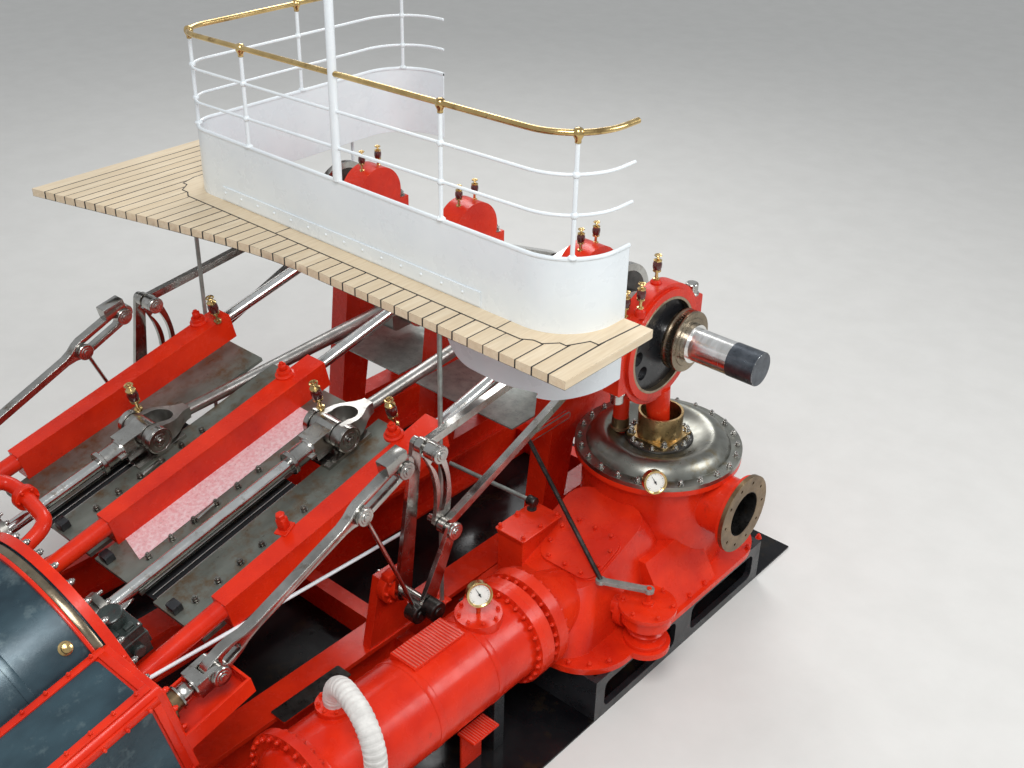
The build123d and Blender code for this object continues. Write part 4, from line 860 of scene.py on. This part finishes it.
for side, inner, outer in (("right", 1.0, 1.435), ("left", -0.64, -1.345)):
    middle = (inner + outer) / 2
    span = abs(outer - inner)
    way = 1 if side == "right" else -1
    top = on_slope(middle, 3.96, 0.35)
    flank = on_slope(outer, 3.96, 0.04) @ spun(way * pi / 2, "Y")
    nose = on_slope(middle, 3.51, 0.04) @ spun(-pi / 2, "X")
    frames = []
    panels = []
    bolts = []
    length = 0.9
    for lie, width in ((top, span), (flank, 0.62)):
        panels.append(cut_plate(round_corners(width - 0.125, length - 0.165, 0.02, 2), 0.0005, 0.005, 0.001, lie))
        bars = [block((0.04, length - 0.06, 0.014), (x, 0, 0.007)) for x in (width / 2 - 0.045, 0.045 - width / 2)]
        bars += [block((width - 0.13, 0.04, 0.014), (0, y, 0.007)) for y in (length / 2 - 0.05, 0.05 - length / 2)]
        frames.append(moved(joined(*bars), lie))
        bolts += [lie @ shift(x, y, 0.013, 0.019)
                  for x in (width / 2 - 0.045, 0.045 - width / 2) for y in (-0.36, -0.24, -0.12, 0, 0.12, 0.24, 0.36)]
    frames.append(cut_plate(round_corners(span - 0.06, 0.5, 0.04, 4), -0.002, 0.02, 0.004, nose))
    bolts += [nose @ shift(x, y, 0.02, 0.026)
              for x in (span / 2 - 0.06, 0.06 - span / 2) for y in (-0.21, -0.07, 0.07, 0.21)]
    keep(joined(*frames), side + "_chest_frames", red)
    keep(joined(*panels), side + "_chest_panels", blue_sheet)
    scatter(side + "_chest_bolts", red_nut, bolts)

# Lubricator with its lid, bands, screws and feed pipes
lubricator_top = on_slope(0.83, 3.38, 0.2)
lid = turned(
    ((0, 0.06), (0.055, 0.06), (0.064, 0.064), (0.064, 0.074), (0.058, 0.078), (0.05, 0.0745), (0, 0.0745)), 32)
edge = block((0.208, 0.168, 0.012), (0, 0, 0.004), 0.003, 1)
latch = joined(
    block((0.075, 0.034, 0.03), (0.05, -0.045, 0.022), 0.005), block((0.03, 0.05, 0.02), (0.07, 0.03, 0.018), 0.004))
keep(moved(joined(moved(lid, shift(-0.02, 0.005, 0)), edge, latch), lubricator_top), "lubricator_lid", green_black)
bands = joined(
    block((0.208, 0.168, 0.014), (0, 0, -0.055), 0.003, 1),
    block((0.05, 0.03, 0.07), (0.06, 0.085, -0.11), 0.006),
    moved(turned(((0, 0), (0.03, 0), (0.034, 0.006), (0.034, 0.026), (0.026, 0.032), (0, 0.032)), 24),
          shift(0.1, 0.01, -0.11) @ spun(pi / 2, "Y")),
)
keep(moved(bands, lubricator_top), "lubricator_bands", green_black)
scatter("lubricator_screws", steel_rivet, [
    lubricator_top @ shift(x, y, 0.01, 0.02) for x in (-0.09, 0.09) for y in (-0.07, 0.07)])
# How far each bend of a feed pipe lies back, down and up, and how much lower the next pipe's is
FEED_BENDS = (
    (0, 3.3, 0.15, 0.02), (0.01, 3.23, 0.17, 0.02), (0.05, 3.2, 0.12, 0.02), (0.11, 3.25, 0.05, 0.012),
    (0.13, 3.33, 0.03, 0.01))
feeds = []
for number in range(5):
    x = 0.735 - 0.022 * number
    bends = [slope(x - back, down, height - drop * number) for back, down, height, drop in FEED_BENDS]
    feeds.append(bent_bar(bends, 0.006, steel, 2, 6))
keep(joined(*feeds), "lubricator_feeds")

# Bent pipe between the cylinders, and the long rod beside the outer guide
elbow = bent_bar(
    [
        slope(x, down, height)
        for x, down, height in (
            (-0.52, 3.46, 0.3), (-0.52, 3.2, 0.28), (-0.46, 3.13, 0.22), (-0.2, 3.16, 0.2), (-0.08, 3.18, 0.2),
            (-0.05, 3.3, 0.18), (-0.05, 3.462, 0.16))],
    0.042, red, 5, 8)
keep(elbow, "exhaust_bend")
joint = turned_fitting((
    (0.03, -0.024), (0.066, -0.024), (0.07, -0.02), (0.07, -0.002), (0.067, 0), (0.07, 0.002), (0.07, 0.02),
    (0.066, 0.024), (0.03, 0.024)), 28, red)
places = [crosswise(-0.34, 3.145, 0.206), endwise(-0.05, 3.43, 0.162), endwise(-0.52, 3.4, 0.294)]
scatter("exhaust_bend_flanges", joint, places)
scatter("exhaust_bend_nuts", red_nut, [
    place @ spun(turn * pi / 3) @ shift(0.056, 0, 0.022, 0.016) for place in places for turn in range(6)])
drain_rod = bent_bar([slope(1.06, 3.46, 0.033), slope(1.06, 2.6, -0.209), slope(1.06, 1.82, -0.428)], 0.0105, white)
keep(drain_rod, "drain_rod")

# Guides: speckled sheet, nuts, slots and stops, and the bosses on the beams
sheet = cut_plate(
    [(0.03, 0.86), (0.245, 0.86), (0.25, -0.47), (0.035, -0.42)], 0.0012, 0.0045, 0.001, on_slope(0, 2.47, -0.1155))
keep(sheet, "speckled_sheet", pink_sheet)
places = [
    on_slope(x, first + (last - first) * number / 5, GUIDE_LEVEL, number) @ Matrix.Scale(0.031, 4)
    for x, first, last in ((0.278, 2.115, 2.9), (0.738, 2.18, 2.94), (-0.284, 2.086, 2.85), (-0.615, 2.1, 2.9))
    for number in range(6)]
scatter("guide_plate_nuts", oiled_nut, places)
clips = []
for x, down in ((0.292, 2.51), (-0.27, 2.47)):
    clips.append(moved(block((0.022, 0.13, 0.016), (0, 0, 0.02), 0.004), on_slope(x, down, GUIDE_LEVEL, 0.1)))
keep(joined(*clips), "guide_clips", steel)
for (line, label), start in zip(ENGINES, (2.56, 2.58)):
    # The black floor of each guide slot is partly oil and partly painted shade for the dark gap under the piston rod
    slot_floor = block((0.112, 1.0, 0.006), (0, 0, -0.016), 0.001, 1)
    keep(moved(slot_floor, on_slope(line, start, -0.125)), "guide_slot_" + label, painted_shade_black)
    edges = [block((0.006, 0.98, 0.008), (x, 0, 0), 0.001, 1) for x in (-0.052, 0.012, 0.052)]
    keep(moved(joined(*edges), on_slope(line, start, -0.119)), "guide_slot_edges_" + label, steel)
stops = [
    moved(block((0.07, 0.06, 0.05), (0, 0, 0.025), 0.006), on_slope(x, 3.04, GUIDE_LEVEL))
    for x in (-0.33, 0.1, 0.7)]
keep(joined(*stops), "guide_stops", black)
beam_boss = turned_fitting(
    ((0, -0.004), (0.058, -0.004), (0.058, 0.012), (0.046, 0.018), (0.042, 0.04), (0, 0.04)), 24, red)
places = [on_slope(x, down, BEAM_TOP) for x, down in ((-0.95, 1.52), (-0.05, 1.57), (0.9, 1.59))]
scatter("beam_bosses", beam_boss, places)
scatter("beam_boss_nuts", red_nut, [place @ shift(0, 0, 0.038, 0.05) for place in places])
lug = joined(
    block((0.075, 0.1, 0.012), (0, 0, 0.004), 0.003, 1), block((0.05, 0.05, 0.09), (0, 0, 0.04), 0.008),
    moved(turned(((0, 0), (0.026, 0), (0.026, 0.03), (0.02, 0.034), (0, 0.034)), 6, angle=20), shift(0, 0, 0.08)))
keep(moved(lug, on_slope(0.915, 2.42, BEAM_TOP, 0.3)), "beam_lug", red)
scatter("guide_oil_cups", cup, [
    on_slope(x, down, height) @ Matrix.Scale(1.25, 4)
    for x, down, height in ((-0.84, 1.45, 0.06), (0.37, 1.66, 0.06), (0.81, 1.5, 0.02), (-0.56, 2.28, 0.07))])

# Glands, crossheads and their pins
for (line, label), pin in zip(ENGINES, (1.717, 2.341)):
    studs = []
    for turn in (0.5 + number * pi / 2 for number in range(4)):
        ends = [slope(line + 0.09 * cos(turn), down, 0.09 * sin(turn)) for down in (3.462, 3.25)]
        studs.append(bent_bar(ends, 0.0085, steel, 2))
    keep(joined(*studs), label + "_gland_studs")
    ring = turned(((0.057, -0.012), (0.07, -0.012), (0.073, -0.008), (0.073, 0.012), (0.07, 0.016), (0.057, 0.016)), 36)
    far_ring = turned(
        ((0.05, -0.012), (0.064, -0.012), (0.066, -0.008), (0.066, 0.008), (0.064, 0.012), (0.05, 0.012)), 36)
    keep(
        moved(joined(ring, moved(far_ring, shift(0, 0, 0.14))), endwise(line, pin + 0.32, 0)), label + "_socket_rings",
        steel)
    cotter = block((0.17, 0.042, 0.016))
    keep(moved(cotter, on_slope(line, pin + 0.21, 0.0)), label + "_cotter", steel)
    pin_end = turned((
        (0, 0), (0.03, 0), (0.032, 0.006), (0.044, 0.006), (0.046, 0.001), (0.066, 0.001), (0.068, 0.007),
        (0.078, 0.007), (0.08, 0.001), (0.08, -0.002), (0, -0.002)), 40)
    stud = turned(((0, 0), (0.02, 0), (0.02, 0.014), (0.016, 0.018), (0, 0.018)), 20)
    end = joined(pin_end, stud)
    keep(moved(end, crosswise(line + 0.1512, pin, 0)), label + "_pin_end", steel)

# Valve gear: die block, pin heads, hanging rods and bearings
for x, side in SIDES:
    die = block((0.085, 0.15, 0.08), (0, 0, 0.04), 0.007)
    keep(moved(die, on_slope(x, 1.92, 0.3)), side + "_die_cap", steel)
    head = (
        (0, 0), (0.05, 0), (0.052, 0.004), (0.052, 0.02), (0.048, 0.024), (0.034, 0.024), (0.032, 0.028), (0.02, 0.028),
        (0.018, 0.034), (0, 0.034))
    heads = [
        moved(turned(head, 28), crosswise(x + out, down, height))
        for out, down, height in (
            (0.03, 2.2, 0.2), (0.03, 1.88, 0.262), (0.076, 1.68, 0.235), (0.104, 1.72, -0.296),
            (0.064, FORK_EYE, SPINDLE_LEVEL))]
    heads.append(
        moved(
            turned(((0.024, -0.02), (0.05, -0.02), (0.05, 0.044), (0.024, 0.044)), 28),
            crosswise(x + 0.03, 1.68, 0.235)))
    keep(joined(*heads), side + "_pin_heads", steel)
    hanger = bent_bar(
        [slope(x + 0.045, 2.2, 0.2), slope(x + 0.06, 2.12, -0.3), slope(x + 0.07, 2.07, -0.66)], 0.012, steel)
    drums = [
        moved(
            turned((
                (0, -0.045), (0.055, -0.045), (0.06, -0.04), (0.06, 0.03), (0.054, 0.036), (0.03, 0.036),
                (0.028, 0.044), (0, 0.044)), 28),
            crosswise(x + spot, down, height))
        for spot, down, height in ((0.15, 2.01, -0.645), (0.07, 2.07, -0.66))]
    keep(hanger, side + "_hanger", steel)
    keep(joined(*drums), side + "_rocker_drums", dark_steel)
    bearing = joined(
        turned((
            (0.0385, -0.045), (0.105, -0.045), (0.11, -0.04), (0.11, 0.008), (0.105, 0.013), (0.07, 0.013),
            (0.065, 0.018), (0.065, 0.045), (0.06, 0.05), (0.0385, 0.05)), 28),
        block((0.16, 0.05, 0.06), (0, 0.095, 0), 0.008))
    inner = 1.06 if x > 0 else -0.97
    place = crosswise(inner + (0.078 if x > 0 else -0.078), *ROCKER_SHAFT)
    keep(moved(bearing, place), side + "_rocker_bearing", red)
    scatter(side + "_rocker_bearing_nuts", red_nut, [
        place @ spun(turn * pi / 4) @ shift(0.088, 0, 0.012, 0.02) for turn in range(8)])

# Half widths of the forked rod along its length, from the spindle's eye
BAR = (
    (-0.058, 0.012), (-0.05, 0.034), (-0.03, 0.05), (0.0, 0.058), (0.09, 0.06), (0.15, 0.052), (0.21, 0.03),
    (0.27, 0.023), (0.9, 0.023), (0.955, 0.034), (1.0, 0.054), (1.04, 0.062), (1.36, 0.058), (1.395, 0.05),
    (1.42, 0.03), (1.428, 0.01))


def slot_cut(piece, first, last, half_width):
    """Cuts a slot with round ends through a plate that lies along its Y axis."""
    cutter = cut_plate(
        round_corners(2 * half_width, last - first, half_width * 0.98, 6, (0, (first + last) / 2)), -0.1, 0.1)
    clear_selection()
    bpy.context.view_layer.objects.active = piece
    cut = piece.modifiers.new("slot", "BOOLEAN")
    cut.operation = "DIFFERENCE"
    cut.object = cutter
    bpy.ops.object.modifier_apply(modifier=cut.name)
    bpy.data.objects.remove(cutter)
    return piece


for x, side in SIDES:
    bar = cut_plate([(half, along) for along, half in BAR] + [(-half, along) for along, half in BAR[::-1]], -0.03, 0.03)
    slot_cut(bar, 0.05, 0.165, 0.026)
    slot_cut(bar, 1.02, 1.31, 0.03)
    bevelled(bar, 0.004, 2, 30)
    smooth(bar, 30)
    lie = on_slope(x, FORK_EYE, SPINDLE_LEVEL) @ spun(radians(9.2), "X") @ spun(pi / 2, "Y")
    keep(moved(bar, lie), side + "_forked_rod", steel)
    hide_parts(side + "_radius_rod")
for x, side in SIDES:
    gland = turned(
        ((0.025, 0), (0.075, 0), (0.078, 0.004), (0.078, 0.02), (0.055, 0.026), (0.05, 0.075), (0.025, 0.08)), 28)
    keep(moved(gland, endwise(x, 3.49, SPINDLE_LEVEL)), side + "_spindle_gland", bronze)
    nuts = [endwise(x, down, SPINDLE_LEVEL, 0.085) for down in (3.345, 3.42)]
    scatter(side + "_spindle_nuts", steel_nut, nuts)
cross = bent_bar([(0.66, -0.86, 0.87), (1.0, -0.84, 0.87), (1.3, -0.82, 0.87)], 0.014, pale_steel)
keep(cross, "cross_rod")
knuckle = joined(
    moved(
        turned(((0, -0.03), (0.028, -0.03), (0.032, -0.024), (0.032, 0.024), (0.028, 0.03), (0, 0.03)), 20),
        seat((1.3, -0.82, 0.87), ALONG_SHAFT)),
    moved(
        turned(((0, 0), (0.03, 0), (0.03, 0.012), (0.016, 0.018), (0.016, 0.07), (0, 0.07)), 20),
        seat((1.3, -0.82, 0.806))))
keep(knuckle, "cross_rod_knuckle", dark_steel)

# Templates put away, then floor and light
for fitting in templates:
    bpy.data.objects.remove(fitting)
clear_selection()
bpy.ops.mesh.primitive_plane_add(size=60)
floor = bpy.context.object
floor.name = "floor"
floor.data.materials.append(
    finish("pale_floor", (0.74, 0.73, 0.7), (0.71, 0.7, 0.67), gloss=(0.5, 0.6), relief=0.02, edge=0))
world = bpy.data.worlds.new("studio")
bpy.context.scene.world = world
world.use_nodes = True
sky = world.node_tree.nodes["Background"].inputs
sky["Color"].default_value = (0.9, 0.93, 0.96, 1)
sky["Strength"].default_value = 0.52
for name, place, target, size, power in (
    ("key_light", (4.5, -5.5, 8.5), (0.5, -1.5, 1), 3.5, 450),
    ("back_light", (-4.5, 4.5, 7.5), (0.5, -1.0, 1), 4.0, 300),
    ("side_light", (7.0, 3.0, 6.0), (1.0, -1.0, 1), 3.0, 190)):
    bpy.ops.object.light_add(type="AREA", location=place)
    lamp = bpy.context.object
    lamp.name = name
    lamp.data.energy = power
    lamp.data.size = size
    lamp.rotation_euler = (Vector(target) - Vector(place)).to_track_quat("-Z", "Y").to_euler()
bpy.context.scene.view_settings.view_transform = "Standard"
